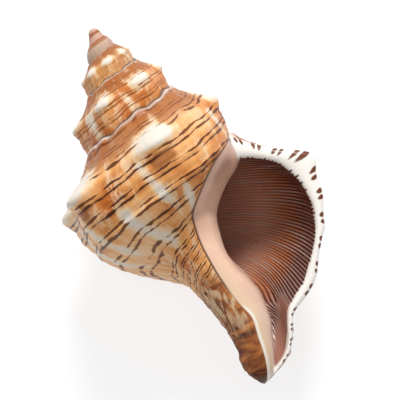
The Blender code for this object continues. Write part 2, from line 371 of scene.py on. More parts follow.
def linear(hex_colour):
    """An sRGB hex colour as the linear values that a shader takes."""
    channels = [int(hex_colour[i : i + 2], 16) / 255 for i in (1, 3, 5)]
    return [c / 12.92 if c <= 0.04045 else ((c + 0.055) / 1.055) ** 2.4 for c in channels]


def curve_through(points):
    """A smooth curve through (place, value) points that never swings past them."""
    place, value = np.array(points, float).T
    step = np.diff(place)
    slope = np.diff(value) / step
    tangent = np.zeros(len(place))
    before, after = slope[:-1], slope[1:]
    rising = before * after > 0
    tangent[1:-1][rising] = 2 * (before * after)[rising] / (before + after)[rising]
    tangent[0], tangent[-1] = slope[0], slope[-1]

    def at(where):
        where = np.clip(where, place[0], place[-1])
        i = np.clip(np.searchsorted(place, where, side="right") - 1, 0, len(step) - 1)
        t = (where - place[i]) / step[i]
        start = value[i] * (1 + 2 * t) * (1 - t) ** 2 + value[i + 1] * t * t * (3 - 2 * t)
        bend = tangent[i] * t * (1 - t) ** 2 - tangent[i + 1] * t * t * (1 - t)
        return start + bend * step[i]

    return at


def smooth_step(low, high, value):
    t = np.clip((value - low) / (high - low), 0, 1)
    return t * t * (3 - 2 * t)


def bell(value, centre, spread):
    return np.exp(-(((value - centre) / spread) ** 2))


wall_outline = curve_through(WALL_OUTLINE)
canal_left = curve_through([(level, left) for level, left, right, depth in CANAL_OUTLINE])
canal_right = curve_through([(level, right) for level, left, right, depth in CANAL_OUTLINE])
canal_depth = curve_through([(level, depth) for level, left, right, depth in CANAL_OUTLINE])
callus_edge = curve_through(CALLUS_EDGE)
mouth_outer = curve_through(MOUTH_OUTER)
mouth_inner = curve_through(MOUTH_INNER)
hollow_outer = curve_through(HOLLOW_OUTER)
hollow_inner = curve_through(HOLLOW_INNER)
lip_to_mouth = curve_through(LIP_TO_MOUTH)
callus_to_mouth = curve_through(CALLUS_TO_MOUTH)
band_curve = curve_through(BANDS)


def shrink(turn):
    return GROWTH**-turn


def all_knobs():
    """The knobs of the last two turns, then the even ones of the early whorls."""
    last = KNOBS[-1][0]
    early = int((KNOBS_END - last) / EARLY_KNOB_SPACING)
    return KNOBS + [
        (last + EARLY_KNOB_SPACING * n, EARLY_KNOB_HEIGHT) for n in range(1, early)
    ]


def knob_relief(turn, level):
    """How far knobs and their ribs stand out of the wall, at the lip's scale."""
    above = bell(level, KNOB_LEVEL, KNOB_ABOVE)
    below = bell(level, KNOB_LEVEL, KNOB_BELOW)
    under = bell(turn, *UNDERNEATH)
    rib = (RIB_SHARE - RIB_UNDER * under) * (1 - smooth_step(RIB_START, RIB_END, level))
    down = np.where(level < KNOB_LEVEL, above, np.maximum(below, below * (1 - rib) + rib))
    ends = smooth_step(SUTURE_LEVEL, SUTURE_LEVEL + 8, level)
    across = sum(h * bell(turn, where, KNOB_HALF_WIDTH) for where, h in all_knobs())
    across = across * (1 - KNOB_UNDER * under)
    return across * down * ends * (1 - smooth_step(*CONE_TURNS, turn))


def canal_radius(turn, level):
    """Distance from the axis to the canal's oval shaft, in the direction of this turn."""
    left, right = canal_left(level), canal_right(level)
    centre, half_width, half_depth = (left + right) / 2, (right - left) / 2, canal_depth(level)
    depth = CANAL_CENTRE_DEPTH * half_depth / CANAL_OUTLINE[0][3]
    across, out = np.cos(2 * np.pi * turn), -np.sin(2 * np.pi * turn)
    a = (across / half_width) ** 2 + (out / half_depth) ** 2
    b = centre * across / half_width**2 + depth * out / half_depth**2
    c = (centre / half_width) ** 2 + (depth / half_depth) ** 2 - 1
    return (b + np.sqrt(b * b - a * c)) / a * smooth_step(CANAL_START, CANAL_FULL, level)


def swelling(level, form):
    centre, spread, height = form
    return height * bell(level, centre, spread)


def wall_radius(turn, level):
    """The outside of the shell without its knobs: whorl, canal and first whorl in one."""
    scale = shrink(turn)
    own = level / scale
    drawn = swelling(own, DRAW_IN) * (1 - smooth_step(*DRAW_IN_TURNS, turn))
    flare = swelling(own, FLARE) * (1 - smooth_step(0, FLARE_TURNS, turn))
    whorl = wall_outline(own) - drawn + flare
    cone = own * SUTURE_RADIUS / SUTURE_LEVEL
    whorl = scale * (whorl + (cone - whorl) * smooth_step(*CONE_TURNS, turn))
    height = np.clip((level - CROWN_LEVEL) / CROWN_RADIUS, 0, 1)
    dome = np.where(turn > CONE_TURNS[0] - 1, CROWN_RADIUS * np.sqrt(height * (2 - height)), 0)
    whorl = np.maximum(whorl, dome)
    canal = np.where(turn < 1, canal_radius(turn, level), 0)
    blend = np.where(canal > 0, BLEND_WIDTH * smooth_step(0, BLEND_WIDTH, canal), 0)
    blend = blend * smooth_step(0, BLEND_END, TIP_LEVEL - level)
    return (whorl + canal + np.sqrt((whorl - canal) ** 2 + blend**2)) / 2


def seam_wave(turn, own):
    """How far a seam wanders along the axis, in millimetres: gathered between the knobs."""
    scale = shrink(turn)

    def wander(at):
        slow = SEAM_SLOW[1] * np.sin(math.tau * SEAM_SLOW[0] * at)
        fast = SEAM_FAST[1] * np.sin(math.tau * SEAM_FAST[0] * at + 1)
        return (slow + fast) * smooth_step(*SEAM_STEADY, at)

    upper = wander(turn) * bell(own, SUTURE_LEVEL, SEAM_REACH)
    lower = wander(turn - 1) * GROWTH * bell(own, COVER_LEVEL, SEAM_REACH)
    lower = np.where(turn > 1, lower, 0)
    return scale * (upper + lower)


def band_at(turn, own):
    """Number of the painted band at a level, given at the lip's scale."""
    drift = 1 + BAND_DRIFT * np.clip(turn, 0, 1)
    return band_curve(BAND_CENTRE + (own - BAND_CENTRE) / drift)


def pale_at(turn, own):
    """How white the wall is: the knobs' caps and the streaks below them.

    Below 0 it is browner than elsewhere: just below each cap lies a brown patch, partly the wall's
    own colour and partly painted shade under the knob.
    """
    knobs = [where for where, height in all_knobs()]
    strength, above, below, half = CAPS
    shoulder = np.where(
        own < CAP_LEVEL, bell(own, CAP_LEVEL, above), bell(own, CAP_LEVEL, below)
    )
    caps = strength * shoulder * sum(bell(turn, where, half) for where in knobs)
    caps = caps * (1 - OLDER_CAPS * smooth_step(*OLDER_CAPS_FROM, turn))
    strength, half = CAP_RIBS
    ribs = strength * sum(bell(turn, where, half) for where in knobs)
    ribs = ribs * smooth_step(*CAP_RIB_LEVELS, own) * smooth_step(*CAP_RIBS_FROM, turn)
    caps = caps + ribs
    streaks = 0
    for where, half, first, last, strength in STREAKS:
        lean = (own - KNOB_LEVEL) * STREAK_LEAN
        down = smooth_step(first - 3, first + 3, own) * (1 - smooth_step(last - 4, last + 4, own))
        strength = STREAK_SHARE * strength
        streaks = streaks + strength * bell(turn - lean, where, half) * down
    # The brown patch below each cap: partly the wall's own colour, partly painted shade under the
    # knob.
    drop, spread = BROWN_AND_SHADE_PATCH
    aside, half = BROWN_AND_SHADE_PATCH_TURN
    dark = bell(own, CAP_LEVEL + drop, spread) * smooth_step(*BROWN_AND_SHADE_PATCH_UNTIL, turn)
    dark = dark * sum(bell(turn, where + aside, half) for where in knobs)
    return np.maximum(caps, streaks) - dark


class Net:
    """Points with their values, and faces, gathered as they are made."""

    VALUES = (
        "turn level radius knob lift scale own band pale skin crust "
        "rim inside across throat columella"
    ).split()

    def __init__(self):
        self.values = {name: [] for name in self.VALUES}
        self.faces = []
        self.growth = []
        self.in_mouth = []

    def add(self, **values):
        """New points; a value that isn't given is 0."""
        size = len(values["turn"])
        first = len(self.values["turn"])
        for name, kept in self.values.items():
            kept.extend(np.broadcast_to(values.get(name, 0.0), size).tolist())
        return np.arange(first, first + size)

    def of(self, name, points):
        kept = self.values[name]
        return np.array([kept[point] for point in points])

    def row(self, points, place, growth=None):
        """A row for strip(): its points, their place along it, and their turn, band and level."""
        if growth is None:
            growth = [self.of(name, points) for name in ("turn", "band", "own")]
        return points.tolist(), place.tolist(), np.transpose(growth).tolist()

    def strip(self, one, other, in_mouth=False):
        """Faces between two rows whose places run alike but whose counts may differ."""
        (a, a_place, a_growth), (b, b_place, b_growth) = one, other
        i = j = 0
        while i < len(a) - 1 or j < len(b) - 1:
            next_a = a_place[i + 1] if i < len(a) - 1 else math.inf
            next_b = b_place[j + 1] if j < len(b) - 1 else math.inf
            step_a, step_b = next_a <= next_b + 1e-9, next_b <= next_a + 1e-9
            corners = {a[i]: a_growth[i]}
            if step_a:
                corners.setdefault(a[i + 1], a_growth[i + 1])
            if step_b:
                corners.setdefault(b[j + 1], b_growth[j + 1])
            corners.setdefault(b[j], b_growth[j])
            i, j = i + step_a, j + step_b
            if len(corners) > 2:
                # The mouth's loops run the other way round than the wall's columns.
                around = list(corners.items())[:: -1 if in_mouth else 1]
                self.faces.append([point for point, growth in around])
                self.growth.extend(growth for point, growth in around)
                self.in_mouth.append(in_mouth)


def wall_points(net, turn, level, **values):
    """Points of the outer wall, with what is painted and raised on it."""
    scale = shrink(turn)
    own = level / scale
    reach = CRUST_REACH * bell(turn, *CRUST_SIDE)
    crust = smooth_step(*CRUST_LEVELS, level + reach) * np.where(turn < 1, 1, 0)
    values.setdefault("skin", 1.0)
    return net.add(
        turn=turn,
        level=level + seam_wave(turn, own),
        radius=wall_radius(turn, level),
        knob=knob_relief(turn, own) * scale,
        scale=scale,
        own=own,
        band=band_at(turn, own),
        pale=pale_at(turn, own),
        crust=crust,
        **values,
    )


def make_wall(net):
    """The outer wall in columns (turn) and rows (level); returns the rim of the mouth."""
    columns = COLUMNS * SPIRE_TURNS
    turns = np.arange(columns + 1) / COLUMNS
    grid = [None] * (columns + 1)
    place = [None] * (columns + 1)
    for column in range(columns, -1, -1):
        turn = turns[column]
        rows = WHORL_ROWS[max(0, math.ceil(turn) - 1)]
        share = np.arange(rows + 1) / rows
        first = 1 if column + COLUMNS <= columns else 0
        own = SUTURE_LEVEL + (COVER_LEVEL - SUTURE_LEVEL) * share[first:]
        skin = smooth_step(0, SEAM_EDGE, share[first:])
        skin = skin * smooth_step(0, SEAM_EDGE, 1 - share[first:])
        if turn > 1:
            skin = skin * smooth_step(0, 0.012, turn)
        else:  # the last whorl runs on below, so it has no seam there
            skin = np.maximum(skin, share[first:] > 0.5) * smooth_step(0, 0.02, turn)
        points = wall_points(net, np.full(len(own), turn), own * shrink(turn), skin=skin)
        if first:  # the seam is the last row of the turn before
            points = np.concatenate([[grid[column + COLUMNS][-1]], points])
        grid[column], place[column] = points, share

    grid[COLUMNS][-1] = grid[0][0]
    tip = net.add(
        turn=np.array([0.75]), level=TIP_LEVEL, band=20.0, crust=1.0, scale=0.7, columella=0.5
    )
    share = (np.arange(1, LOWER_ROWS) / LOWER_ROWS) ** LOWER_SPREAD
    lower = []
    for column in range(COLUMNS + 1):
        straight = column / COLUMNS
        pulled = CALLUS_START + (straight - CALLUS_START) * (
            callus_edge(share) - CALLUS_START
        ) / (1 - CALLUS_START)
        turn = np.where(straight > CALLUS_START, pulled, straight)
        start = COVER_LEVEL * shrink(turn)
        level = start + (TIP_LEVEL - start) * share
        at_edge = smooth_step(0, 0.02, straight) * smooth_step(0, 0.03, 1 - straight)
        skin = at_edge * smooth_step(0, 4, TIP_LEVEL - level)
        points = wall_points(net, turn, level, skin=skin)
        lower.append(np.concatenate([grid[column][-1:], points, tip]))

    for column in range(columns):
        rows = []
        for side in (column, column + 1):
            turn = np.full(len(grid[side]), turns[side])
            own = SUTURE_LEVEL + (COVER_LEVEL - SUTURE_LEVEL) * place[side]
            rows.append(net.row(grid[side], place[side], (turn, band_at(turn, own), own)))
        net.strip(*rows)
    lower_place = np.arange(LOWER_ROWS + 1.0)
    for column in range(COLUMNS):
        rows = []
        for side in (column, column + 1):
            row = net.row(lower[side], lower_place)
            straight = side / COLUMNS
            row[2][0] = [straight, float(band_at(straight, COVER_LEVEL)), COVER_LEVEL]
            row[2][-1] = row[2][-2]
            rows.append(row)
        net.strip(*rows)
    make_crown(net, grid, turns)
    lip = np.concatenate([grid[0], lower[0][1:]])
    return lip, lower[COLUMNS]


def make_crown(net, grid, turns):
    """The blunt top of the first whorl, a dome over the open end of the spiral."""
    columns = COLUMNS * SPIRE_TURNS
    edge = np.concatenate(
        [[grid[column][0] for column in range(columns - COLUMNS, columns + 1)], grid[columns][1:]]
    )
    place = np.arange(float(len(edge)))
    turn, level, radius = (net.of(name, edge) for name in ("turn", "level", "radius"))
    turn[COLUMNS:] = SPIRE_TURNS
    rows = [net.row(edge, place)]
    for ring in range(1, CROWN_RINGS):
        slope = math.pi / 2 * (1 - ring / CROWN_RINGS)
        points = net.add(
            turn=turn,
            level=CROWN_LEVEL + (level - CROWN_LEVEL) * (1 - math.cos(slope)),
            radius=radius * math.sin(slope),
            scale=shrink(SPIRE_TURNS),
            band=1.0,
            own=KNOB_LEVEL,
        )
        points[-1] = points[0]
        rows.append(net.row(points, place))
    crown = net.add(turn=np.array([SPIRE_TURNS - 0.5]), level=CROWN_LEVEL, own=KNOB_LEVEL)
    rows.append(net.row(np.full(len(edge), crown[0]), place))
    for one, other in zip(rows[:-1], rows[1:]):
        net.strip(one, other)


def wound(turn, level, radius, lift=0.0):
    """Turn, level and radius as a point, in millimetres."""
    angle = 2 * np.pi * turn
    x, z = radius * np.cos(angle), lift - radius * np.sin(angle)
    return np.stack([x, APEX_LEVEL - level, z + 0 * level], -1)


def evenly_along(curve, first, last, count):
    """Levels evenly spaced along an outline, and their distance along it."""
    level = np.linspace(first, last, 2000)
    length = np.append(0, np.cumsum(np.hypot(np.diff(level), np.diff(curve(level)))))
    distance = np.linspace(0, length[-1], count)
    return np.interp(distance, length, level), distance


def into_hollow(level):
    share = (level - MOUTH_TOP) / (MOUTH_BOTTOM - MOUTH_TOP)
    return HOLLOW_TOP + (HOLLOW_BOTTOM - HOLLOW_TOP) * share


def make_mouth(net, lip, callus):
    """From the rim over the lip and the callus into the mouth, and on round the axis."""
    outer_level, outer_length = evenly_along(mouth_outer, MOUTH_TOP, MOUTH_BOTTOM, OUTER_ARC)
    inner_level, inner_length = evenly_along(mouth_inner, MOUTH_TOP, MOUTH_BOTTOM, INNER_ARC)
    lip_mouth = lip_to_mouth(net.of("level", lip))
    callus_mouth = callus_to_mouth(net.of("level", callus))
    lip_place = np.interp(lip_mouth, outer_level, outer_length / outer_length[-1])
    callus_place = 2 - np.interp(callus_mouth, inner_level, inner_length / inner_length[-1])
    lip_place[0], lip_place[-1], callus_place[0] = 0, 1, 2

    # The rim as a closed loop: down the lip, then up the callus.
    rim = np.concatenate([lip, callus[::-1][1:]])
    rim_place = np.concatenate([lip_place, callus_place[::-1][1:]])
    back = inner_level[::-1][1:]
    mouth_level = np.concatenate([outer_level, back])
    mouth_radius = np.concatenate([mouth_outer(outer_level), mouth_inner(back)])
    deep_level = into_hollow(mouth_level)
    deep_radius = np.concatenate(
        [hollow_outer(into_hollow(outer_level)), hollow_inner(into_hollow(back))]
    )
    place = np.concatenate(
        [outer_length / outer_length[-1], 2 - inner_length[::-1][1:] / inner_length[-1]]
    )
    on_lip = np.arange(len(place)) < OUTER_ARC

    rim_turn = net.of("turn", rim) - np.where(np.arange(len(rim)) < len(lip), 0, 1)
    rim_turn[len(lip) - 1] = 0
    rim_turn[0] = rim_turn[-1] = 0
    at_rim = {
        name: np.interp(place, rim_place, net.of(name, rim))
        for name in ("level", "radius", "knob", "band")
    }
    turn_at_rim = np.interp(place, rim_place, rim_turn)
    columella = smooth_step(0, COLUMELLA_EDGE, place - 1)
    columella = columella * smooth_step(0, COLUMELLA_EDGE, 2 - place)
    across = np.interp(mouth_level, outer_level, outer_length)
    throat = smooth_step(*THROAT_LEVELS, mouth_level)
    common = dict(across=across, columella=columella, band=at_rim["band"])

    def close(points):
        points[-1] = points[0]
        return points

    travelled = np.zeros(len(place))
    before = wound(turn_at_rim, at_rim["level"], at_rim["radius"])
    loops, lengths = [], []
    for step in range(1, LIP_LOOPS + 1):
        share = step / LIP_LOOPS
        over = (1 - math.cos(math.pi * share)) / 2
        level = at_rim["level"] + (mouth_level - at_rim["level"]) * over
        radius = at_rim["radius"] + (mouth_radius - at_rim["radius"]) * over
        turn = turn_at_rim * (1 - np.where(on_lip, over, share))
        lift = np.where(on_lip, LIP_ROUNDING * math.sin(math.pi * share), 0)
        knob = at_rim["knob"] * np.where(on_lip, 1 - over, 0)
        now = wound(turn, level, radius, lift)
        travelled = travelled + np.linalg.norm(now - before, axis=1)
        before = now
        loops.append((turn, level, radius, lift, knob, 1.0))
        lengths.append(travelled)
    lip_width = travelled
    for name, along in (("across", across), ("columella", columella), ("inside", -lip_width)):
        for point, value in zip(rim, np.interp(rim_place, place, along)):
            net.values[name][point] = float(value)
    for step in range(1, INNER_LOOPS + 1):
        turn = MOUTH_TURNS * (step / INNER_LOOPS) ** INNER_SPREAD
        deep = smooth_step(0, HOLLOW_START, turn)
        scale = shrink(turn)
        level = (mouth_level + (deep_level - mouth_level) * deep) * scale
        radius = (mouth_radius + (deep_radius - mouth_radius) * deep) * scale
        radius = np.minimum(radius, wall_radius(turn, level) - THINNEST_WALL * scale)
        turn = np.full(len(place), turn)
        now = wound(turn, level, radius)
        travelled = travelled + np.linalg.norm(now - before, axis=1)
        before = now
        loops.append((turn, level, radius, 0.0, 0.0, scale))
        lengths.append(travelled)

    one = net.row(rim, rim_place)
    for (turn, level, radius, lift, knob, scale), length in zip(loops, lengths):
        points = close(
            net.add(
                turn=turn,
                level=level,
                radius=radius,
                lift=lift,
                knob=knob,
                scale=scale,
                rim=length,
                inside=length - lip_width,
                throat=throat * (1 - smooth_step(*THROAT_DEPTH, length - lip_width)),
                **common,
            )
        )
        other = net.row(points, place)
        net.strip(one, other, in_mouth=True)
        one = other
    end = net.add(
        turn=np.array([MOUTH_TURNS]), level=level.mean(), radius=radius.mean(), scale=scale
    )
    net.strip(one, net.row(np.full(len(place), end[0]), place), in_mouth=True)


# Kinds of node
MATH = "ShaderNodeMath"
VECTOR = "ShaderNodeVectorMath"
MIX = "ShaderNodeMix"
RANGE = "ShaderNodeMapRange"
NOISE = "ShaderNodeTexNoise"
COMBINE = "ShaderNodeCombineXYZ"
SEPARATE = "ShaderNodeSeparateXYZ"
RAMP = "ShaderNodeValToRGB"
NAMED = "GeometryNodeInputNamedAttribute"
PAINTED = "ShaderNodeAttribute"
SOFT = dict(interpolation_type="SMOOTHSTEP")
COLOUR = dict(data_type="RGBA")


def add(tree, kind, links=None, stops=None, **settings):
    """A node with its settings; `links` gives each socket a value, a node or an output.

    `stops` gives a colour ramp its (place, colour) pairs, as hex or linear values.
    """
    node = tree.nodes.new(kind)
    for name, value in settings.items():
        setattr(node, name, value)
    for socket, value in (links or {}).items():
        if isinstance(value, bpy.types.Node):
            value = next(output for output in value.outputs if output.enabled)
        if isinstance(value, bpy.types.NodeSocket):
            tree.links.new(value, node.inputs[socket])
        else:
            node.inputs[socket].default_value = value
    for number, (place, value) in enumerate(stops or []):
        elements = node.color_ramp.elements
        stop = elements[number] if number < 2 else elements.new(place)
        stop.position = place
        stop.color = [*(linear(value) if isinstance(value, str) else value), 1]
    return node


def relief_tree(materials):
    """The tree "grow_shell": winds the net, raises the relief and lays the shell down."""
    tree = bpy.data.node_groups.new("grow_shell", "GeometryNodeTree")
    tree.is_modifier = True
    tree.interface.new_socket("Net", in_out="INPUT", socket_type="NodeSocketGeometry")
    for name in RELIEF_INPUTS:
        tree.interface.new_socket(name, in_out="INPUT", socket_type="NodeSocketFloat")
    tree.interface.new_socket("Shell", in_out="OUTPUT", socket_type="NodeSocketGeometry")
    given = add(tree, "NodeGroupInput").outputs
    value = {name: add(tree, NAMED, {"Name": name}) for name in Net.VALUES}

    # Wind the net round the axis.
    angle = add(tree, MATH, {0: value["turn"], 1: math.tau}, operation="MULTIPLY")
    radius = add(
        tree,
        MATH,
        {0: value["knob"], 1: given["Knob height"], 2: value["radius"]},
        operation="MULTIPLY_ADD",
    )
    cosine = add(tree, MATH, {0: angle}, operation="COSINE")
    sine = add(tree, MATH, {0: angle}, operation="SINE")
    x = add(tree, MATH, {0: radius, 1: cosine}, operation="MULTIPLY")
    out = add(tree, MATH, {0: radius, 1: sine}, operation="MULTIPLY")
    y = add(tree, MATH, {0: APEX_LEVEL, 1: value["level"]}, operation="SUBTRACT")
    z = add(tree, MATH, {0: value["lift"], 1: out}, operation="SUBTRACT")
    place = add(tree, COMBINE, {0: x, 1: y, 2: z})
    wound_net = add(
        tree,
        "GeometryNodeSetPosition",
        {
            "Geometry": given["Net"],
            "Position": add(tree, VECTOR, {0: place, "Scale": MM}, operation="SCALE"),
        },
    )

    # Spiral cords: two to a painted band.
    band_angle = add(tree, MATH, {0: value["band"], 1: 2 * math.tau}, operation="MULTIPLY")
    cord = add(tree, MATH, {0: band_angle}, operation="COSINE")
    cords = add(tree, MATH, {0: cord, 1: given["Cord height"]}, operation="MULTIPLY")
    # Growth lines: fine across the turn, long down the wall.
    seed = given["Seed"]
    grain = add(tree, MATH, {0: value["turn"], 1: 95.0}, operation="MULTIPLY")
    down = add(tree, MATH, {0: value["band"], 1: 0.35}, operation="MULTIPLY")
    growth_place = add(tree, COMBINE, {0: grain, 1: down, 2: seed})
    growth = add(tree, NOISE, {"Vector": growth_place, "Scale": 1.0, "Detail": 2.0})
    growth_line = add(
        tree,
        MATH,
        {
            0: add(tree, MATH, {0: growth, 1: 0.5}, operation="SUBTRACT"),
            1: given["Growth line height"],
        },
        operation="MULTIPLY",
    )
    # Folds below the seam, where each turn was gathered against the one before.
    fold_place = add(
        tree,
        COMBINE,
        {0: add(tree, MATH, {0: value["turn"], 1: 40.0}, operation="MULTIPLY"), 1: seed},
    )
    fold = add(tree, NOISE, {"Vector": fold_place, "Scale": 1.0, "Detail": 1.0})
    near_seam = add(tree, RANGE, {0: value["own"], 1: 66.0, 2: 55.0, 3: 0.45, 4: 1.0}, **SOFT)
    folds = add(tree, MATH, {0: fold, 1: near_seam}, operation="MULTIPLY")
    folds = add(tree, MATH, {0: folds, 1: given["Fold height"]}, operation="MULTIPLY")
    on_wall = add(tree, MATH, {0: cords, 1: growth_line}, operation="ADD")
    on_wall = add(tree, MATH, {0: on_wall, 1: folds}, operation="ADD")
    # Each turn's upper edge laps over the turn before as a low lip.
    lap = add(tree, RANGE, {0: value["own"], 1: 58.5, 2: 54.5}, **SOFT)
    on_wall = add(
        tree, MATH, {0: lap, 1: given["Seam lip"], 2: on_wall}, operation="MULTIPLY_ADD"
    )
    on_wall = add(tree, MATH, {0: on_wall, 1: value["scale"]}, operation="MULTIPLY")

    # Rings round the canal, each a former end of it.
    position = add(tree, "GeometryNodeInputPosition")
    uneven = add(
        tree,
        NOISE,
        {"Vector": position, "Scale": given["Unevenness scale"], "Detail": 3.0},
    )
    uneven = add(tree, MATH, {0: uneven, 1: 0.5}, operation="SUBTRACT")
    ring_place = add(
        tree,
        COMBINE,
        {
            0: add(tree, MATH, {0: value["level"], 1: 0.42}, operation="MULTIPLY"),
            1: add(tree, MATH, {0: value["turn"], 1: 2.2}, operation="MULTIPLY"),
            2: seed,
        },
    )
    ring = add(tree, NOISE, {"Vector": ring_place, "Scale": 1.0, "Detail": 3.0, "Distortion": 0.4})
    ring = add(tree, MATH, {0: ring, 1: 0.5}, operation="SUBTRACT")
    rings = add(tree, MATH, {0: ring, 1: given["Ring height"]}, operation="MULTIPLY")
    rings = add(tree, MATH, {0: rings, 1: value["crust"]}, operation="MULTIPLY")
    uneven_wall = add(
        tree,
        MATH,
        {
            0: add(tree, MATH, {0: uneven, 1: given["Unevenness"]}, operation="MULTIPLY"),
            1: value["scale"],
            2: on_wall,
        },
        operation="MULTIPLY_ADD",
    )
    outside = add(tree, MATH, {0: uneven_wall, 1: rings}, operation="ADD")
    outside = add(tree, MATH, {0: outside, 1: value["skin"]}, operation="MULTIPLY")

    # Lirae: fine raised threads that run into the mouth.
    thread = add(tree, MATH, {0: value["across"], 1: given["Lira spacing"]}, operation="DIVIDE")
    thread = add(tree, MATH, {0: thread, 1: math.tau}, operation="MULTIPLY")
    thread = add(tree, MATH, {0: thread}, operation="COSINE")
    started = add(tree, RANGE, {0: value["inside"], 1: -0.6, 2: 0.8}, **SOFT)
    lined = add(tree, MATH, {0: value["throat"], 1: value["columella"]}, operation="MAXIMUM")
    lined = add(tree, MATH, {0: 1.0, 1: lined}, operation="SUBTRACT")
    threads = add(tree, MATH, {0: thread, 1: given["Lira height"]}, operation="MULTIPLY")
    threads = add(tree, MATH, {0: threads, 1: started}, operation="MULTIPLY")
    threads = add(tree, MATH, {0: threads, 1: lined}, operation="MULTIPLY")
    threads = add(tree, MATH, {0: threads, 1: value["scale"]}, operation="MULTIPLY")
    # The callus lies on the wall as a glaze with a rounded edge.
    glaze = add(tree, RANGE, {0: value["rim"], 1: 0.0, 2: 2.2}, **SOFT)
    fade = add(tree, RANGE, {0: value["inside"], 1: -1.0, 2: -5.0}, **SOFT)
    glaze = add(tree, MATH, {0: glaze, 1: fade}, operation="MULTIPLY")
    glaze = add(tree, MATH, {0: glaze, 1: value["columella"]}, operation="MULTIPLY")
    glaze = add(tree, MATH, {0: glaze, 1: given["Callus thickness"]}, operation="MULTIPLY")

    height = add(tree, MATH, {0: outside, 1: threads}, operation="ADD")
    height = add(tree, MATH, {0: height, 1: glaze}, operation="ADD")
    height = add(tree, MATH, {0: height, 1: MM}, operation="MULTIPLY")
    normal = add(tree, "GeometryNodeInputNormal")
    offset = add(tree, VECTOR, {0: normal, "Scale": height}, operation="SCALE")
    raised = add(tree, "GeometryNodeSetPosition", {"Geometry": wound_net, "Offset": offset})

    # Lay it down as it rests.
    rolled = add(
        tree, "GeometryNodeTransform", {"Geometry": raised, "Rotation": (0.0, ROLL, 0.0)}
    )
    laid = add(
        tree,
        "GeometryNodeTransform",
        {
            "Geometry": rolled,
            "Rotation": (PITCH, 0.0, 0.0),
            "Translation": tuple(MM * part for part in REST_PLACE),
        },
    )
    # Nothing sinks into the table: where it lies, the shell is rubbed down, within 2 mm.
    spot = add(tree, SEPARATE, {0: add(tree, "GeometryNodeInputPosition")}).outputs
    worn = add(tree, MATH, {0: spot[2], 1: 0.0, 2: 2 * MM}, operation="SMOOTH_MAX")
    worn_place = add(tree, COMBINE, {0: spot[0], 1: spot[1], 2: worn})
    laid = add(tree, "GeometryNodeSetPosition", {"Geometry": laid, "Position": worn_place})
    real = add(tree, "GeometryNodeRealizeInstances", {"Geometry": laid})
    in_mouth = add(tree, NAMED, {"Name": "in_mouth"}, data_type="BOOLEAN")
    wall_set = add(
        tree, "GeometryNodeSetMaterial", {"Geometry": real, "Material": materials["wall"]}
    )
    mouth_set = add(
        tree,
        "GeometryNodeSetMaterial",
        {"Geometry": wall_set, "Selection": in_mouth, "Material": materials["mouth"]},
    )
    add(tree, "NodeGroupOutput", {0: mouth_set})
    return tree


def new_material(name):
    material = bpy.data.materials.new(name)
    material.use_nodes = True
    tree = material.node_tree
    surface = tree.nodes["Principled BSDF"]
    surface.inputs["Metallic"].default_value = 0.0
    return material, tree, surface


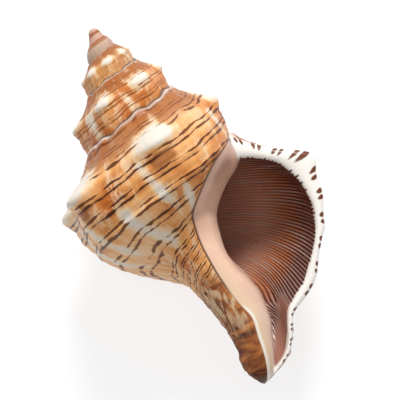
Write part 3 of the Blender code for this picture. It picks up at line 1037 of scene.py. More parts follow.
def outer_wall(sizes):
    """Outer wall: aragonite laid down in crossed layers, whose glaze gives a soft, broad gloss.

    Its pigment went in at the growing edge: streaks run down the wall and lines run round it.
    In the ranges below, `own` and `level` are in millimetres, and `turn` and `band` count.
    """
    material, tree, surface = new_material("aragonite_outer_wall")
    growth = add(tree, "ShaderNodeUVMap", uv_map="growth")
    parts = add(tree, SEPARATE, {0: growth}).outputs
    turn, band = parts[0], parts[1]
    place = {
        name: add(
            tree,
            VECTOR,
            {0: growth, 1: (per_turn, per_band, 0.0), 2: (0.0, 0.0, pattern)},
            operation="MULTIPLY_ADD",
        )
        for name, (per_turn, per_band, pattern) in GROWTH_PATTERNS.items()
    }
    whorl = add(tree, "ShaderNodeUVMap", uv_map="whorl")
    own = add(tree, SEPARATE, {0: whorl}).outputs[1]
    pale = add(tree, PAINTED, attribute_name="pale").outputs["Fac"]
    crust = add(tree, PAINTED, attribute_name="crust").outputs["Fac"]
    level = add(tree, PAINTED, attribute_name="level").outputs["Fac"]
    position = add(tree, "ShaderNodeTexCoord").outputs["Object"]

    # Blotches about 14 mm across, and streaks 3 to 5 mm wide that run down the wall.
    blotch = add(tree, NOISE, {"Vector": position, "Scale": 70.0, "Detail": 3.0})
    streak = add(
        tree, NOISE, {"Vector": place["streak"], "Scale": 1.0, "Detail": 4.0, "Distortion": 0.3}
    )
    ground = add(
        tree,
        RAMP,
        {0: blotch},
        stops=[
            (0.34, sizes.ground_dark),
            (0.68, sizes.ground_pale),
            (0.5, sizes.ground_colour),
        ],
    )
    newer_half = add(tree, RANGE, {0: turn, 1: 0.77, 2: 0.66, 4: 0.06}, **SOFT)
    cream_share = add(tree, MATH, {0: streak, 1: newer_half}, operation="ADD")
    hair = add(tree, NOISE, {"Vector": place["hair"], "Scale": 1.0, "Detail": 3.0})
    hair = add(tree, MATH, {0: hair, 1: -0.5}, operation="ADD")
    cream_share = add(tree, MATH, {0: hair, 1: 0.5, 2: cream_share}, operation="MULTIPLY_ADD")
    cream_share = add(tree, RANGE, {0: cream_share, 1: 0.5, 2: 0.68, 4: 0.85}, **SOFT)
    body = add(
        tree,
        MIX,
        {0: cream_share, 6: ground.outputs[0], 7: [*sizes.cream_colour, 1]},
        **COLOUR,
    ).outputs[2]

    # The spire is a richer orange, the early whorls paler, and the first ones worn to grey pink.
    turn_share = add(tree, MATH, {0: turn, 1: SPIRE_TURNS}, operation="DIVIDE")
    spire = add(
        tree,
        RAMP,
        {0: turn_share},
        stops=[
            (0.20, "#A85414"),
            (0.40, "#AE5810"),
            (0.52, "#BC8244"),
            (0.62, "#B99A7C"),
            (0.72, "#B09C8A"),
            (0.86, "#BC988C"),
        ],
    ).outputs[0]
    spire_share = add(
        tree,
        RAMP,
        {0: turn_share},
        stops=[(0.195, "#000000"), (0.23, "#989898"), (0.5, "#A8A8A8"), (0.66, "#F2F2F2")],
    ).outputs[0]
    body = add(tree, MIX, {0: spire_share, 6: body, 7: spire}, **COLOUR).outputs[2]

    # Between seam and knobs the wall is a darker tan.
    on_ramp = add(tree, RANGE, {0: own, 1: 70.0, 2: 62.0, 4: 0.8}, **SOFT)
    body = add(
        tree, MIX, {0: on_ramp, 6: body, 7: [*sizes.shoulder_colour, 1]}, **COLOUR
    ).outputs[2]

    # White knobs and streaks, with edges broken up by the streaks' grain.
    pale_edge = add(tree, MATH, {0: streak, 1: -0.5}, operation="ADD")
    patchy = add(
        tree, NOISE, {"Vector": position, "Scale": 240.0, "Detail": 3.0, "Distortion": 0.5}
    )
    patchy = add(tree, MATH, {0: patchy, 1: -0.5}, operation="ADD")
    pale_edge = add(tree, MATH, {0: pale_edge, 1: 1.3, 2: pale}, operation="MULTIPLY_ADD")
    pale_edge = add(tree, MATH, {0: patchy, 1: 0.7, 2: pale_edge}, operation="MULTIPLY_ADD")
    halo = add(tree, RANGE, {0: pale_edge, 1: 0.12, 2: 0.55, 4: 0.75}, **SOFT)
    body = add(tree, MIX, {0: halo, 6: body, 7: [*linear("#E8C89C"), 1]}, **COLOUR).outputs[2]
    # Below the caps, a brown patch: partly the wall's own colour, partly painted shade under each
    # knob.
    brown_and_shade_below_caps = add(tree, RANGE, {0: pale_edge, 1: -0.15, 2: -0.75, 4: 0.75}, **SOFT)
    body = add(tree, MIX, {0: brown_and_shade_below_caps, 6: body, 7: [*linear("#8A4A20"), 1]}, **COLOUR).outputs[2]
    white = add(tree, RANGE, {0: pale_edge, 1: 0.36, 2: 0.95}, **SOFT)
    body = add(
        tree, MIX, {0: white, 6: body, 7: [*sizes.cap_colour, 1]}, **COLOUR
    ).outputs[2]

    # Pairs of dark lines, two to a band. They waver, and break up where the wall is pale.
    waver = add(tree, NOISE, {"Vector": place["waver"], "Scale": 1.0, "Detail": 2.0})
    waver = add(tree, MATH, {0: waver, 1: -0.5}, operation="ADD")
    sway = add(tree, NOISE, {"Vector": place["sway"], "Scale": 1.0, "Detail": 1.0})
    sway = add(tree, MATH, {0: sway, 1: -0.5}, operation="ADD")
    sway_band = add(tree, MATH, {0: sway, 1: 0.55, 2: band}, operation="MULTIPLY_ADD")
    wavy_band = add(tree, MATH, {0: waver, 1: 0.07, 2: sway_band}, operation="MULTIPLY_ADD")
    within = add(tree, MATH, {0: wavy_band}, operation="FRACT")
    from_centre = add(tree, MATH, {0: within, 1: 0.5}, operation="SUBTRACT")
    from_centre = add(tree, MATH, {0: from_centre}, operation="ABSOLUTE")
    from_line = add(tree, MATH, {0: from_centre, 1: LINE_OFFSET}, operation="SUBTRACT")
    from_line = add(tree, MATH, {0: from_line}, operation="ABSOLUTE")
    breaks = add(tree, NOISE, {"Vector": place["breaks"], "Scale": 1.0, "Detail": 2.0})
    # The noise runs from about 0.25 to 0.75; a line is 1 mm wide at most.
    half_width = add(tree, RANGE, {0: breaks, 1: 0.32, 2: 0.66, 3: 0.025, 4: 0.12})
    # On the first half of the last whorl the lines are more broken.
    dashed = add(tree, MATH, {0: breaks, 1: -0.5}, operation="ADD")
    dashed = add(tree, MATH, {0: dashed, 1: newer_half}, operation="MULTIPLY")
    half_width = add(tree, MATH, {0: dashed, 1: 2.2, 2: half_width}, operation="MULTIPLY_ADD")
    half_width = add(
        tree,
        MATH,
        {0: add(tree, MATH, {0: white, 1: -0.035}, operation="MULTIPLY"), 1: half_width},
        operation="ADD",
    )
    inner = add(tree, MATH, {0: half_width, 1: 0.055}, operation="SUBTRACT")
    line = add(
        tree, RANGE, {0: from_line, 1: inner, 2: half_width, 3: 1.0, 4: 0.0}, **SOFT
    )
    real_line = add(tree, MATH, {0: half_width, 1: 0.012}, operation="GREATER_THAN")
    line = add(tree, MATH, {0: line, 1: real_line}, operation="MULTIPLY")
    # Fainter on the canal, and on the early whorls.
    below = add(tree, RANGE, {0: level, 1: 92.0, 2: 112.0, 3: 1.0, 4: 0.0}, **SOFT)
    early = add(tree, RANGE, {0: turn, 1: 1.7, 2: 2.6, 3: 1.0, 4: 0.25}, **SOFT)
    line = add(tree, MATH, {0: line, 1: below}, operation="MULTIPLY")
    line = add(tree, MATH, {0: line, 1: early}, operation="MULTIPLY")
    ramp_share = add(tree, RANGE, {0: band, 1: 1.6, 2: 3.0, 3: 0.72, 4: 0.95}, **SOFT)
    line = add(tree, MATH, {0: line, 1: ramp_share}, operation="MULTIPLY")
    off_caps = add(tree, RANGE, {0: pale, 1: 0.75, 2: 1.15, 3: 1.0, 4: 0.0}, **SOFT)
    line = add(tree, MATH, {0: line, 1: off_caps}, operation="MULTIPLY")
    line_colour = add(
        tree, RAMP, {0: blotch}, stops=[(0.42, sizes.line_dark), (0.64, sizes.line_brown)]
    ).outputs[0]
    older_line = add(tree, RANGE, {0: turn, 1: 0.95, 2: 1.15, 4: 0.8}, **SOFT)
    line_colour = add(
        tree, MIX, {0: older_line, 6: line_colour, 7: [*linear("#98561F"), 1]}, **COLOUR
    ).outputs[2]
    body = add(tree, MIX, {0: line, 6: body, 7: line_colour}, **COLOUR).outputs[2]

    # The seam: a pale rim below it, and a thin dark line in it, orange on the first whorls.
    rim_level = add(tree, MATH, {0: waver, 1: 2.4, 2: own}, operation="MULTIPLY_ADD")
    rim_share = add(tree, RANGE, {0: rim_level, 1: 56.2, 2: 54.2, 4: 0.75}, **SOFT)
    body = add(
        tree, MIX, {0: rim_share, 6: body, 7: [*linear("#E6DCD2"), 1]}, **COLOUR
    ).outputs[2]
    under = add(tree, RANGE, {0: own, 1: 92.2, 2: 93.4, 4: 0.8}, **SOFT)
    older = add(tree, MATH, {0: turn, 1: 0.999}, operation="GREATER_THAN")
    under = add(tree, MATH, {0: under, 1: older}, operation="MULTIPLY")
    # The line keeps its width, so it takes more of the smaller whorls.
    seam_level = add(tree, MATH, {0: turn, 1: -0.85, 2: own}, operation="MULTIPLY_ADD")
    seam = add(tree, RANGE, {0: seam_level, 1: 53.6, 2: 53.0, 4: 0.85}, **SOFT)
    seam = add(tree, MATH, {0: seam, 1: under}, operation="MAXIMUM")
    seam_colour = add(
        tree, RAMP, {0: turn_share}, stops=[(0.42, "#5A443A"), (0.60, "#A0561F")]
    ).outputs[0]
    body = add(tree, MIX, {0: seam, 6: body, 7: seam_colour}, **COLOUR).outputs[2]

    # The canal's outside: brown horny crust in rings, mottled with cream where it begins.
    ring_level = add(tree, MATH, {0: level, 1: 0.27}, operation="MULTIPLY")
    ring_turn = add(tree, MATH, {0: turn, 1: 4.4}, operation="MULTIPLY")
    ring_place = add(tree, COMBINE, {0: ring_level, 1: ring_turn})
    ring = add(
        tree, NOISE, {"Vector": ring_place, "Scale": 1.0, "Detail": 4.0, "Distortion": 0.9}
    )
    brown = add(
        tree,
        RAMP,
        {0: ring},
        stops=[(0.36, "#5C2C12"), (0.66, "#C07A42"), (0.5, "#95532A")],
    ).outputs[0]
    mottle_turn = add(tree, MATH, {0: turn, 1: 24.0}, operation="MULTIPLY")
    mottle_level = add(tree, MATH, {0: level, 1: 0.16}, operation="MULTIPLY")
    mottle_place = add(tree, COMBINE, {0: mottle_turn, 1: mottle_level})
    mottle = add(
        tree, NOISE, {"Vector": mottle_place, "Scale": 1.0, "Detail": 4.0, "Distortion": 0.8}
    )
    cream_end = add(tree, RANGE, {0: level, 1: 106.0, 2: 119.0, 3: 0.85, 4: 0.0}, **SOFT)
    mottled = add(tree, RANGE, {0: mottle, 1: 0.42, 2: 0.62}, **SOFT)
    mottled = add(tree, MATH, {0: mottled, 1: cream_end}, operation="MULTIPLY")
    brown = add(
        tree, MIX, {0: mottled, 6: brown, 7: [*linear("#E0BE96"), 1]}, **COLOUR
    ).outputs[2]
    tip = add(tree, RANGE, {0: level, 1: 126.5, 2: 131.0, 4: 0.85}, **SOFT)
    brown = add(tree, MIX, {0: tip, 6: brown, 7: [*linear("#3A1F18"), 1]}, **COLOUR).outputs[2]
    crust_share = add(tree, RANGE, {0: crust, 1: 0.05, 2: 0.6}, **SOFT)
    colour = add(tree, MIX, {0: crust_share, 6: body, 7: brown}, **COLOUR).outputs[2]

    gloss = add(tree, RANGE, {0: blotch, 1: 0.3, 2: 0.7, 3: 0.34, 4: 0.46})
    gloss = add(tree, MATH, {0: crust_share, 1: -0.14, 2: gloss}, operation="MULTIPLY_ADD")
    fine = add(tree, NOISE, {"Vector": place["streak"], "Scale": 6.0, "Detail": 3.0})
    dents = add(tree, MATH, {0: line, 1: -0.6, 2: fine}, operation="MULTIPLY_ADD")
    bump = add(tree, "ShaderNodeBump", {"Strength": 0.35, "Distance": 0.0004, "Height": dents})
    tree.links.new(colour, surface.inputs["Base Color"])
    tree.links.new(gloss.outputs[0], surface.inputs["Roughness"])
    tree.links.new(bump.outputs[0], surface.inputs["Normal"])
    surface.inputs["IOR"].default_value = 1.53
    surface.inputs["Specular IOR Level"].default_value = 0.24
    return material


def inner_glaze(sizes):
    """Inside of the mouth, lip and callus: porcelain aragonite, laid down smooth and thick.

    It takes a clear gloss. The lip is white, the callus pink cream, and the lining dark
    red-brown with darker threads.
    """
    material, tree, surface = new_material("porcelain_aragonite_mouth")
    painted = {
        name: add(tree, PAINTED, attribute_name=name).outputs["Fac"]
        for name in ("band", "level", "rim", "inside", "across", "throat", "columella", "turn")
    }
    position = add(tree, "ShaderNodeTexCoord").outputs["Object"]
    cloud = add(tree, NOISE, {"Vector": position, "Scale": 60.0, "Detail": 3.0})
    speck = add(tree, NOISE, {"Vector": position, "Scale": 420.0, "Detail": 3.0})

    # Lirae: dark threads, each starting as a tick at the lip's inner edge.
    drift_inside = add(tree, MATH, {0: painted["inside"], 1: 0.09}, operation="MULTIPLY")
    drift_across = add(tree, MATH, {0: painted["across"], 1: 0.12}, operation="MULTIPLY")
    drift_place = add(tree, COMBINE, {0: drift_inside, 1: drift_across})
    drift = add(tree, NOISE, {"Vector": drift_place, "Scale": 1.0, "Detail": 1.0})
    thread = add(tree, MATH, {0: painted["across"], 1: sizes.lira_spacing / MM}, operation="DIVIDE")
    thread = add(tree, MATH, {0: thread, 1: 0.5}, operation="ADD")
    number = add(tree, MATH, {0: thread}, operation="FLOOR")
    thread = add(tree, MATH, {0: thread}, operation="FRACT")
    thread = add(tree, MATH, {0: thread, 1: 0.5}, operation="SUBTRACT")
    thread = add(tree, MATH, {0: thread}, operation="ABSOLUTE")
    thread = add(tree, RANGE, {0: thread, 1: 0.14, 2: 0.34, 3: 1.0, 4: 0.0}, **SOFT)
    each = add(tree, "ShaderNodeTexWhiteNoise", {"W": number}, noise_dimensions="1D").outputs[0]
    start = add(tree, MATH, {0: each, 1: -1.1}, operation="MULTIPLY")
    past_start = add(tree, MATH, {0: painted["inside"], 1: start}, operation="SUBTRACT")
    tick = add(tree, RANGE, {0: past_start, 1: -0.25, 2: 0.15}, **SOFT)
    end = add(tree, RANGE, {0: painted["throat"], 1: 0.25, 2: 0.8, 3: 1.0, 4: 0.0}, **SOFT)
    weak = add(tree, RANGE, {0: painted["inside"], 1: 9.0, 2: 34.0, 3: 1.0, 4: 0.3}, **SOFT)
    thread = add(tree, MATH, {0: thread, 1: tick}, operation="MULTIPLY")
    thread = add(tree, MATH, {0: thread, 1: end}, operation="MULTIPLY")
    thread = add(tree, MATH, {0: thread, 1: weak}, operation="MULTIPLY")

    # Between the threads: red-brown at the top, grey mauve lower down, orange in the middle.
    down = add(tree, MATH, {0: painted["across"], 1: 78.0}, operation="DIVIDE")
    down = add(
        tree,
        MATH,
        {0: add(tree, MATH, {0: cloud, 1: -0.5}, operation="ADD"), 1: 0.35, 2: down},
        operation="MULTIPLY_ADD",
    )
    between = add(
        tree,
        RAMP,
        {0: down},
        stops=[
            (0.08, "#642A1C"),
            (0.95, "#927C74"),
            (0.30, "#763828"),
            (0.48, "#8E5C4A"),
            (0.66, "#8C6E64"),
        ],
    ).outputs[0]
    far = add(tree, RANGE, {0: painted["inside"], 1: 6.0, 2: 24.0, 4: 0.9}, **SOFT)
    between = add(
        tree, MIX, {0: far, 6: between, 7: [*linear("#CC8E74"), 1]}, **COLOUR
    ).outputs[2]
    patch_in = add(tree, RANGE, {0: painted["inside"], 1: 9.0, 2: 17.0}, **SOFT)
    patch_out = add(tree, RANGE, {0: painted["inside"], 1: 34.0, 2: 20.0}, **SOFT)
    patch = add(tree, MATH, {0: patch_in, 1: patch_out}, operation="MULTIPLY")
    patch_top = add(tree, RANGE, {0: down, 1: 0.10, 2: 0.30}, **SOFT)
    patch = add(tree, MATH, {0: patch, 1: patch_top}, operation="MULTIPLY")
    patch = add(tree, MATH, {0: patch, 1: 0.6}, operation="MULTIPLY")
    between = add(
        tree, MIX, {0: patch, 6: between, 7: [*linear("#B0602A"), 1]}, **COLOUR
    ).outputs[2]
    # Deep in, broader soft streaks of painted sheen follow the threads: pale grey bands that stand
    # in for light on the glaze.
    sheen_in = add(tree, MATH, {0: painted["inside"], 1: 0.035}, operation="MULTIPLY")
    sheen_across = add(tree, MATH, {0: painted["across"], 1: 0.5}, operation="MULTIPLY")
    sheen_place = add(tree, COMBINE, {0: sheen_in, 1: sheen_across})
    painted_sheen = add(tree, NOISE, {"Vector": sheen_place, "Scale": 1.0, "Detail": 3.0})
    painted_sheen = add(tree, RANGE, {0: painted_sheen, 1: 0.46, 2: 0.68, 4: 0.65}, **SOFT)
    between = add(
        tree, MIX, {0: painted_sheen, 6: between, 7: [*linear("#B9A096"), 1]}, **COLOUR
    ).outputs[2]
    lining = add(
        tree, MIX, {0: thread, 6: between, 7: [*sizes.thread_colour, 1]}, **COLOUR
    ).outputs[2]
    smooth = add(tree, RANGE, {0: painted["throat"], 1: 0.2, 2: 0.9}, **SOFT)
    lining = add(
        tree, MIX, {0: smooth, 6: lining, 7: [*linear("#A0705F"), 1]}, **COLOUR
    ).outputs[2]

    # The lip: a white band, with pairs of brown dots where the wall's lines meet its edge.
    within = add(tree, MATH, {0: painted["band"]}, operation="FRACT")
    from_centre = add(tree, MATH, {0: within, 1: 0.5}, operation="SUBTRACT")
    from_centre = add(tree, MATH, {0: from_centre}, operation="ABSOLUTE")
    from_line = add(tree, MATH, {0: from_centre, 1: LINE_OFFSET}, operation="SUBTRACT")
    from_line = add(tree, MATH, {0: from_line}, operation="ABSOLUTE")
    jitter = add(tree, MATH, {0: speck, 1: 0.12, 2: -0.06}, operation="MULTIPLY_ADD")
    from_line = add(tree, MATH, {0: from_line, 1: jitter}, operation="ADD")
    # Round dots, about 1.5 mm across; on the lip's knob they run on as short stripes.
    beside = add(tree, MATH, {0: from_line, 1: BAND_AT_LIP}, operation="MULTIPLY")
    stretch = add(tree, RANGE, {0: painted["level"], 1: 71.0, 2: 75.0, 3: 0.55, 4: 1.0}, **SOFT)
    across_lip = add(tree, MATH, {0: painted["rim"], 1: -1.1}, operation="ADD")
    across_lip = add(tree, MATH, {0: across_lip, 1: stretch}, operation="MULTIPLY")
    in_dot = add(tree, COMBINE, {0: beside, 1: across_lip})
    from_dot = add(tree, VECTOR, {0: in_dot}, operation="LENGTH")
    dot = add(
        tree, RANGE, {0: from_dot.outputs["Value"], 1: 0.6, 2: 0.95, 3: 1.0, 4: 0.0}, **SOFT
    )
    lip = add(
        tree, MIX, {0: dot, 6: [*sizes.lip_colour, 1], 7: [*sizes.dot_colour, 1]}, **COLOUR
    ).outputs[2]
    # A brown line follows the outer edge of the lip beside the canal.
    canal_edge = add(tree, RANGE, {0: painted["rim"], 1: 0.7, 2: 0.25, 4: 0.8}, **SOFT)
    canal_part = add(tree, RANGE, {0: painted["level"], 1: 104.0, 2: 112.0}, **SOFT)
    canal_edge = add(tree, MATH, {0: canal_edge, 1: canal_part}, operation="MULTIPLY")
    lip = add(
        tree, MIX, {0: canal_edge, 6: lip, 7: [*linear("#94602F"), 1]}, **COLOUR
    ).outputs[2]
    ragged = add(tree, MATH, {0: speck, 1: 0.8, 2: painted["inside"]}, operation="MULTIPLY_ADD")
    inner_start = add(tree, RANGE, {0: ragged, 1: 0.2, 2: 0.9}, **SOFT)
    inner_start = add(tree, MATH, {0: inner_start, 1: thread}, operation="MAXIMUM")
    outer_side = add(tree, MIX, {0: inner_start, 6: lip, 7: lining}, **COLOUR).outputs[2]

    # The callus: grey mauve at the top, pink cream down to the canal, with a darker edge.
    shade = add(
        tree,
        MATH,
        {0: add(tree, MATH, {0: cloud, 1: -0.5}, operation="ADD"), 1: 30.0, 2: painted["level"]},
        operation="MULTIPLY_ADD",
    )
    shade = add(tree, RANGE, {0: shade, 1: 50.0, 2: 130.0})
    callus = add(
        tree,
        RAMP,
        {0: shade},
        stops=[
            (0.06, "#A07C6C"),
            (0.95, "#C89C88"),
            (0.20, "#D2A48C"),
            (0.42, "#F4CAB0"),
            (0.62, "#DEB8A2"),
            (0.78, "#D8B6A4"),
        ],
    ).outputs[0]
    left_part = add(tree, RANGE, {0: painted["rim"], 1: 6.0, 2: 1.5, 4: 0.6}, **SOFT)
    low = add(tree, RANGE, {0: painted["level"], 1: 84.0, 2: 100.0}, **SOFT)
    cream_side = add(tree, MATH, {0: left_part, 1: low}, operation="MULTIPLY")
    callus = add(
        tree, MIX, {0: cream_side, 6: callus, 7: [*linear("#E6CBA8"), 1]}, **COLOUR
    ).outputs[2]
    edge = add(tree, RANGE, {0: painted["rim"], 1: 0.9, 2: 0.3}, **SOFT)
    high = add(tree, RANGE, {0: painted["level"], 1: 104.0, 2: 96.0, 4: 0.9}, **SOFT)
    dark_edge = add(tree, MATH, {0: edge, 1: high}, operation="MULTIPLY")
    callus = add(
        tree, MIX, {0: dark_edge, 6: callus, 7: [*linear("#5A3018"), 1]}, **COLOUR
    ).outputs[2]
    ridge = add(tree, RANGE, {0: painted["rim"], 1: 1.6, 2: 0.8}, **SOFT)
    ridge_low = add(tree, RANGE, {0: painted["level"], 1: 104.0, 2: 108.0, 4: 0.9}, **SOFT)
    ridge = add(tree, MATH, {0: ridge, 1: ridge_low}, operation="MULTIPLY")
    callus = add(
        tree, MIX, {0: ridge, 6: callus, 7: [*linear("#F3EADB"), 1]}, **COLOUR
    ).outputs[2]
    stain_in = add(tree, RANGE, {0: painted["inside"], 1: -3.2, 2: -0.8}, **SOFT)
    stain_low = add(tree, RANGE, {0: painted["level"], 1: 97.0, 2: 101.0}, **SOFT)
    stain_end = add(tree, RANGE, {0: painted["level"], 1: 115.0, 2: 110.0}, **SOFT)
    stain = add(tree, MATH, {0: stain_in, 1: stain_low}, operation="MULTIPLY")
    stain = add(tree, MATH, {0: stain, 1: stain_end}, operation="MULTIPLY")
    blot = add(tree, RANGE, {0: speck, 1: 0.38, 2: 0.6, 4: 0.9}, **SOFT)
    stain = add(tree, MATH, {0: stain, 1: blot}, operation="MULTIPLY")
    callus = add(
        tree, MIX, {0: stain, 6: callus, 7: [*linear("#A8602C"), 1]}, **COLOUR
    ).outputs[2]
    colour = add(
        tree, MIX, {0: painted["columella"], 6: outer_side, 7: callus}, **COLOUR
    ).outputs[2]
    # Painted shade: deeper into the whorl, past the mouth, the glaze is painted darker.
    deep = add(tree, RANGE, {0: painted["turn"], 1: 0.4, 2: 0.9, 4: 0.8}, **SOFT)
    colour = add(tree, MIX, {0: deep, 6: colour, 7: [*linear("#6A4030"), 1]}, **COLOUR).outputs[2]

    gloss = add(tree, RANGE, {0: cloud, 1: 0.3, 2: 0.7, 3: 0.22, 4: 0.34})
    bump = add(tree, "ShaderNodeBump", {"Strength": 0.12, "Distance": 0.0003, "Height": speck})
    tree.links.new(colour, surface.inputs["Base Color"])
    tree.links.new(gloss.outputs[0], surface.inputs["Roughness"])
    tree.links.new(bump.outputs[0], surface.inputs["Normal"])
    surface.inputs["IOR"].default_value = 1.53
    return material


def table_board():
    """Table top: opal acrylic, cast and matt, lit from below, so that shadows stay soft."""
    material, tree, surface = new_material("opal_acrylic_table")
    position = add(tree, "ShaderNodeTexCoord").outputs["Object"]
    grain = add(tree, NOISE, {"Vector": position, "Scale": 900.0, "Detail": 2.0})
    colour = add(tree, RAMP, {0: grain}, stops=[(0.3, "#9C9C9C"), (0.7, "#A0A0A0")])
    tree.links.new(colour.outputs[0], surface.inputs["Base Color"])
    surface.inputs["Roughness"].default_value = 0.9
    surface.inputs["Specular IOR Level"].default_value = 0.2
    surface.inputs["Emission Color"].default_value = [*linear("#FFFFFF"), 1]
    surface.inputs["Emission Strength"].default_value = 0.72
    return material


class FOX_PG_shell(bpy.types.PropertyGroup):
    """Sizes of the shell's relief, at the scale of the lip, and its main colours."""

    knob_height: bpy.props.FloatProperty(
        name="Knob height", description="Factor on the height of the knobs", default=1.05
    )
    cord_height: bpy.props.FloatProperty(
        name="Cord height",
        description="Height of the spiral cords",
        default=0.16 * MM,
        unit="LENGTH",
    )
    growth_line_height: bpy.props.FloatProperty(
        name="Growth line height",
        description="Height of the growth lines",
        default=0.7 * MM,
        unit="LENGTH",
    )
    fold_height: bpy.props.FloatProperty(
        name="Fold height",
        description="Height of the folds, which are strongest at the seam",
        default=1.3 * MM,
        unit="LENGTH",
    )
    seam_lip: bpy.props.FloatProperty(
        name="Seam lip",
        description="Height of each turn's upper edge",
        default=0.9 * MM,
        unit="LENGTH",
    )
    ring_height: bpy.props.FloatProperty(
        name="Ring height",
        description="Height of the rings round the canal",
        default=2.0 * MM,
        unit="LENGTH",
    )
    unevenness: bpy.props.FloatProperty(
        name="Unevenness",
        description="Height of the wall's broad waves",
        default=1.2 * MM,
        unit="LENGTH",
    )
    lira_spacing: bpy.props.FloatProperty(
        name="Lira spacing",
        description="Distance between two lirae",
        default=1.34 * MM,
        unit="LENGTH",
    )
    lira_height: bpy.props.FloatProperty(
        name="Lira height",
        description="Height of the lirae",
        default=0.12 * MM,
        unit="LENGTH",
    )
    callus_thickness: bpy.props.FloatProperty(
        name="Callus thickness",
        description="Height of the callus's edge",
        default=0.55 * MM,
        unit="LENGTH",
    )
    unevenness_scale: bpy.props.FloatProperty(
        name="Unevenness scale", description="Waves to the metre", default=90.0
    )
    seed: bpy.props.IntProperty(
        name="Seed", description="Picks one of many like shells", default=4
    )
    ground_colour: bpy.props.FloatVectorProperty(
        name="Ground",
        description="Wall between the lines",
        default=linear("#E09C5A"),
        subtype="COLOR",
    )
    ground_dark: bpy.props.FloatVectorProperty(
        name="Dark ground",
        description="The wall's darkest blotches",
        default=linear("#BC6626"),
        subtype="COLOR",
    )
    ground_pale: bpy.props.FloatVectorProperty(
        name="Pale ground",
        description="The wall's palest blotches",
        default=linear("#ECB680"),
        subtype="COLOR",
    )
    cream_colour: bpy.props.FloatVectorProperty(
        name="Cream",
        description="Streaks that run down the wall",
        default=linear("#E8C096"),
        subtype="COLOR",
    )
    shoulder_colour: bpy.props.FloatVectorProperty(
        name="Shoulder",
        description="Wall between the seam and the knobs",
        default=linear("#965222"),
        subtype="COLOR",
    )
    cap_colour: bpy.props.FloatVectorProperty(
        name="Caps",
        description="White caps of the knobs and white streaks",
        default=linear("#DCD3C6"),
        subtype="COLOR",
    )
    line_dark: bpy.props.FloatVectorProperty(
        name="Dark lines",
        description="Spiral lines where the pigment is strongest",
        default=linear("#431A08"),
        subtype="COLOR",
    )
    line_brown: bpy.props.FloatVectorProperty(
        name="Brown lines",
        description="Spiral lines where the pigment is weakest",
        default=linear("#743A12"),
        subtype="COLOR",
    )
    lip_colour: bpy.props.FloatVectorProperty(
        name="Lip",
        description="White band of the lip",
        default=linear("#F2EDE6"),
        subtype="COLOR",
    )
    dot_colour: bpy.props.FloatVectorProperty(
        name="Lip dots",
        description="Dots on the edge of the lip",
        default=linear("#6A3616"),
        subtype="COLOR",
    )
    thread_colour: bpy.props.FloatVectorProperty(
        name="Lirae",
        description="Dark threads inside the mouth",
        default=linear("#45140A"),
        subtype="COLOR",
    )


class FOX_PG_stage(bpy.types.PropertyGroup):
    """The table, the lights and the camera."""

    table_size: bpy.props.FloatProperty(
        name="Table size", description="Side of the table", default=6.0, unit="LENGTH"
    )
    light_power: bpy.props.FloatProperty(
        name="Light power", description="Power of the large soft light, in W", default=8.4
    )
    sky: bpy.props.FloatProperty(
        name="Room light", description="Strength of the light from all round", default=0.4
    )
    lens: bpy.props.FloatProperty(
        name="Lens", description="Focal length", default=160.0, unit="CAMERA"
    )
    camera_distance: bpy.props.FloatProperty(
        name="Camera distance", description="From the lip", default=0.588, unit="LENGTH"
    )
    camera_turn: bpy.props.FloatProperty(
        name="Camera turn",
        description="How far the shell leans in the view",
        default=math.radians(-26),
        subtype="ANGLE",
    )


class FOX_OT_shell(bpy.types.Operator):
    """Grow the fox shell in place of its CAD solid"""

    bl_idname = "fox.shell"
    bl_label = "Fox shell"

    def execute(self, context):
        sizes = context.scene.fox_shell
        net = Net()
        lip, callus = make_wall(net)
        make_mouth(net, lip, callus)
        mesh = bpy.data.meshes.new("shell_net")
        mesh.from_pydata([(0.0, 0.0, 0.0)] * len(net.values["turn"]), [], net.faces)
        for name, values in net.values.items():
            attribute = mesh.attributes.new(name, "FLOAT", "POINT")
            attribute.data.foreach_set("value", np.array(values, np.float32))
        growth = np.array(net.growth, np.float32)
        for name, column in (("growth", 1), ("whorl", 2)):
            layer = mesh.uv_layers.new(name=name)
            layer.data.foreach_set("uv", growth[:, [0, column]].ravel())
        in_mouth = mesh.attributes.new("in_mouth", "BOOLEAN", "FACE")
        in_mouth.data.foreach_set("value", net.in_mouth)
        materials = {"wall": outer_wall(sizes), "mouth": inner_glaze(sizes)}
        for material in materials.values():
            mesh.materials.append(material)
        shell = bpy.data.objects.new("fox_shell", mesh)
        context.scene.collection.objects.link(shell)
        tree = relief_tree(materials)
        modifier = shell.modifiers.new("grow_shell", "NODES")
        modifier.node_group = tree
        for socket in tree.interface.items_tree:
            if socket.name in RELIEF_INPUTS:
                name, unit = RELIEF_INPUTS[socket.name]
                modifier[socket.identifier] = getattr(sizes, name) / unit
        context.view_layer.update()
        grown = bpy.data.meshes.new_from_object(
            shell.evaluated_get(context.evaluated_depsgraph_get())
        )
        shell.modifiers.clear()
        shell.data = grown
        grown.name = "fox_shell"
        grown.shade_smooth()
        if len(grown.polygons) != len(net.faces):
            raise RuntimeError("the grown shell lost faces")
        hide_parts("shell")
        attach(shell, "root")
        return {"FINISHED"}


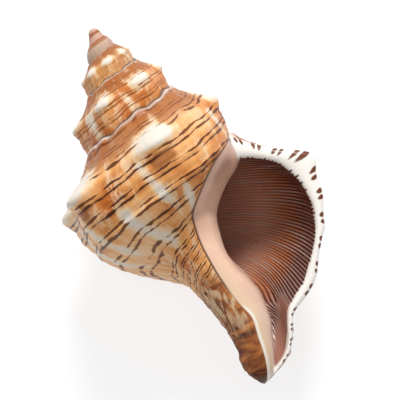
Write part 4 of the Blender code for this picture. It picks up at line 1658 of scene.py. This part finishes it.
class FOX_OT_stage(bpy.types.Operator):
    """Set the pale table, the soft lights and the camera"""

    bl_idname = "fox.stage"
    bl_label = "Table, lights and camera"

    def execute(self, context):
        stage = context.scene.fox_stage
        half = stage.table_size / 2
        mesh = bpy.data.meshes.new("table")
        mesh.from_pydata(
            [(-half, -half, 0), (half, -half, 0), (half, half, 0), (-half, half, 0)],
            [],
            [(0, 1, 2, 3)],
        )
        mesh.materials.append(table_board())
        table = bpy.data.objects.new("table", mesh)
        context.scene.collection.objects.link(table)

        world = bpy.data.worlds.new("room")
        world.use_nodes = True
        background = world.node_tree.nodes["Background"]
        background.inputs["Color"].default_value = [*linear("#FFFFFF"), 1]
        background.inputs["Strength"].default_value = stage.sky
        context.scene.world = world
        for name, place, size, share in SOFT_LIGHTS:
            light = bpy.data.lights.new(name, "AREA")
            light.shape = "DISK"
            light.size = size
            light.energy = stage.light_power * share
            lamp = bpy.data.objects.new(name, light)
            lamp.location = place
            toward = Vector(LIGHT_AIM) - lamp.location
            lamp.rotation_euler = toward.to_track_quat("-Z", "Y").to_euler()
            context.scene.collection.objects.link(lamp)

        camera = bpy.data.cameras.new("camera")
        camera.lens = stage.lens
        eye = bpy.data.objects.new("camera", camera)
        rest = Matrix.Rotation(PITCH, 4, "X") @ Matrix.Rotation(ROLL, 4, "Y")
        rest = Matrix.Translation(MM * Vector(REST_PLACE)) @ rest
        aim = Matrix.Translation((*(MM * part for part in VIEW_CENTRE), stage.camera_distance))
        eye.matrix_world = rest @ aim @ Matrix.Rotation(stage.camera_turn, 4, "Z")
        context.scene.collection.objects.link(eye)
        context.scene.camera = eye
        context.scene.view_settings.view_transform = "Standard"
        return {"FINISHED"}


class FOX_PT_panel(bpy.types.Panel):
    """Sizes and steps of the fox shell"""

    bl_idname = "FOX_PT_panel"
    bl_label = "Fox shell"
    bl_space_type = "VIEW_3D"
    bl_region_type = "UI"
    bl_category = "Fox shell"

    def draw(self, context):
        for group, operator in (("fox_shell", "fox.shell"), ("fox_stage", "fox.stage")):
            box = self.layout.box()
            values = getattr(context.scene, group)
            for name in values.__annotations__:
                box.prop(values, name)
            box.operator(operator)


CLASSES = (FOX_PG_shell, FOX_PG_stage, FOX_OT_shell, FOX_OT_stage, FOX_PT_panel)


def register():
    for each in CLASSES:
        bpy.utils.register_class(each)
    bpy.types.Scene.fox_shell = bpy.props.PointerProperty(type=FOX_PG_shell)
    bpy.types.Scene.fox_stage = bpy.props.PointerProperty(type=FOX_PG_stage)


def unregister():
    del bpy.types.Scene.fox_stage
    del bpy.types.Scene.fox_shell
    for each in reversed(CLASSES):
        bpy.utils.unregister_class(each)


def main():
    register()
    bpy.ops.fox.shell()
    bpy.ops.fox.stage()


if __name__ == "__main__":
    main()
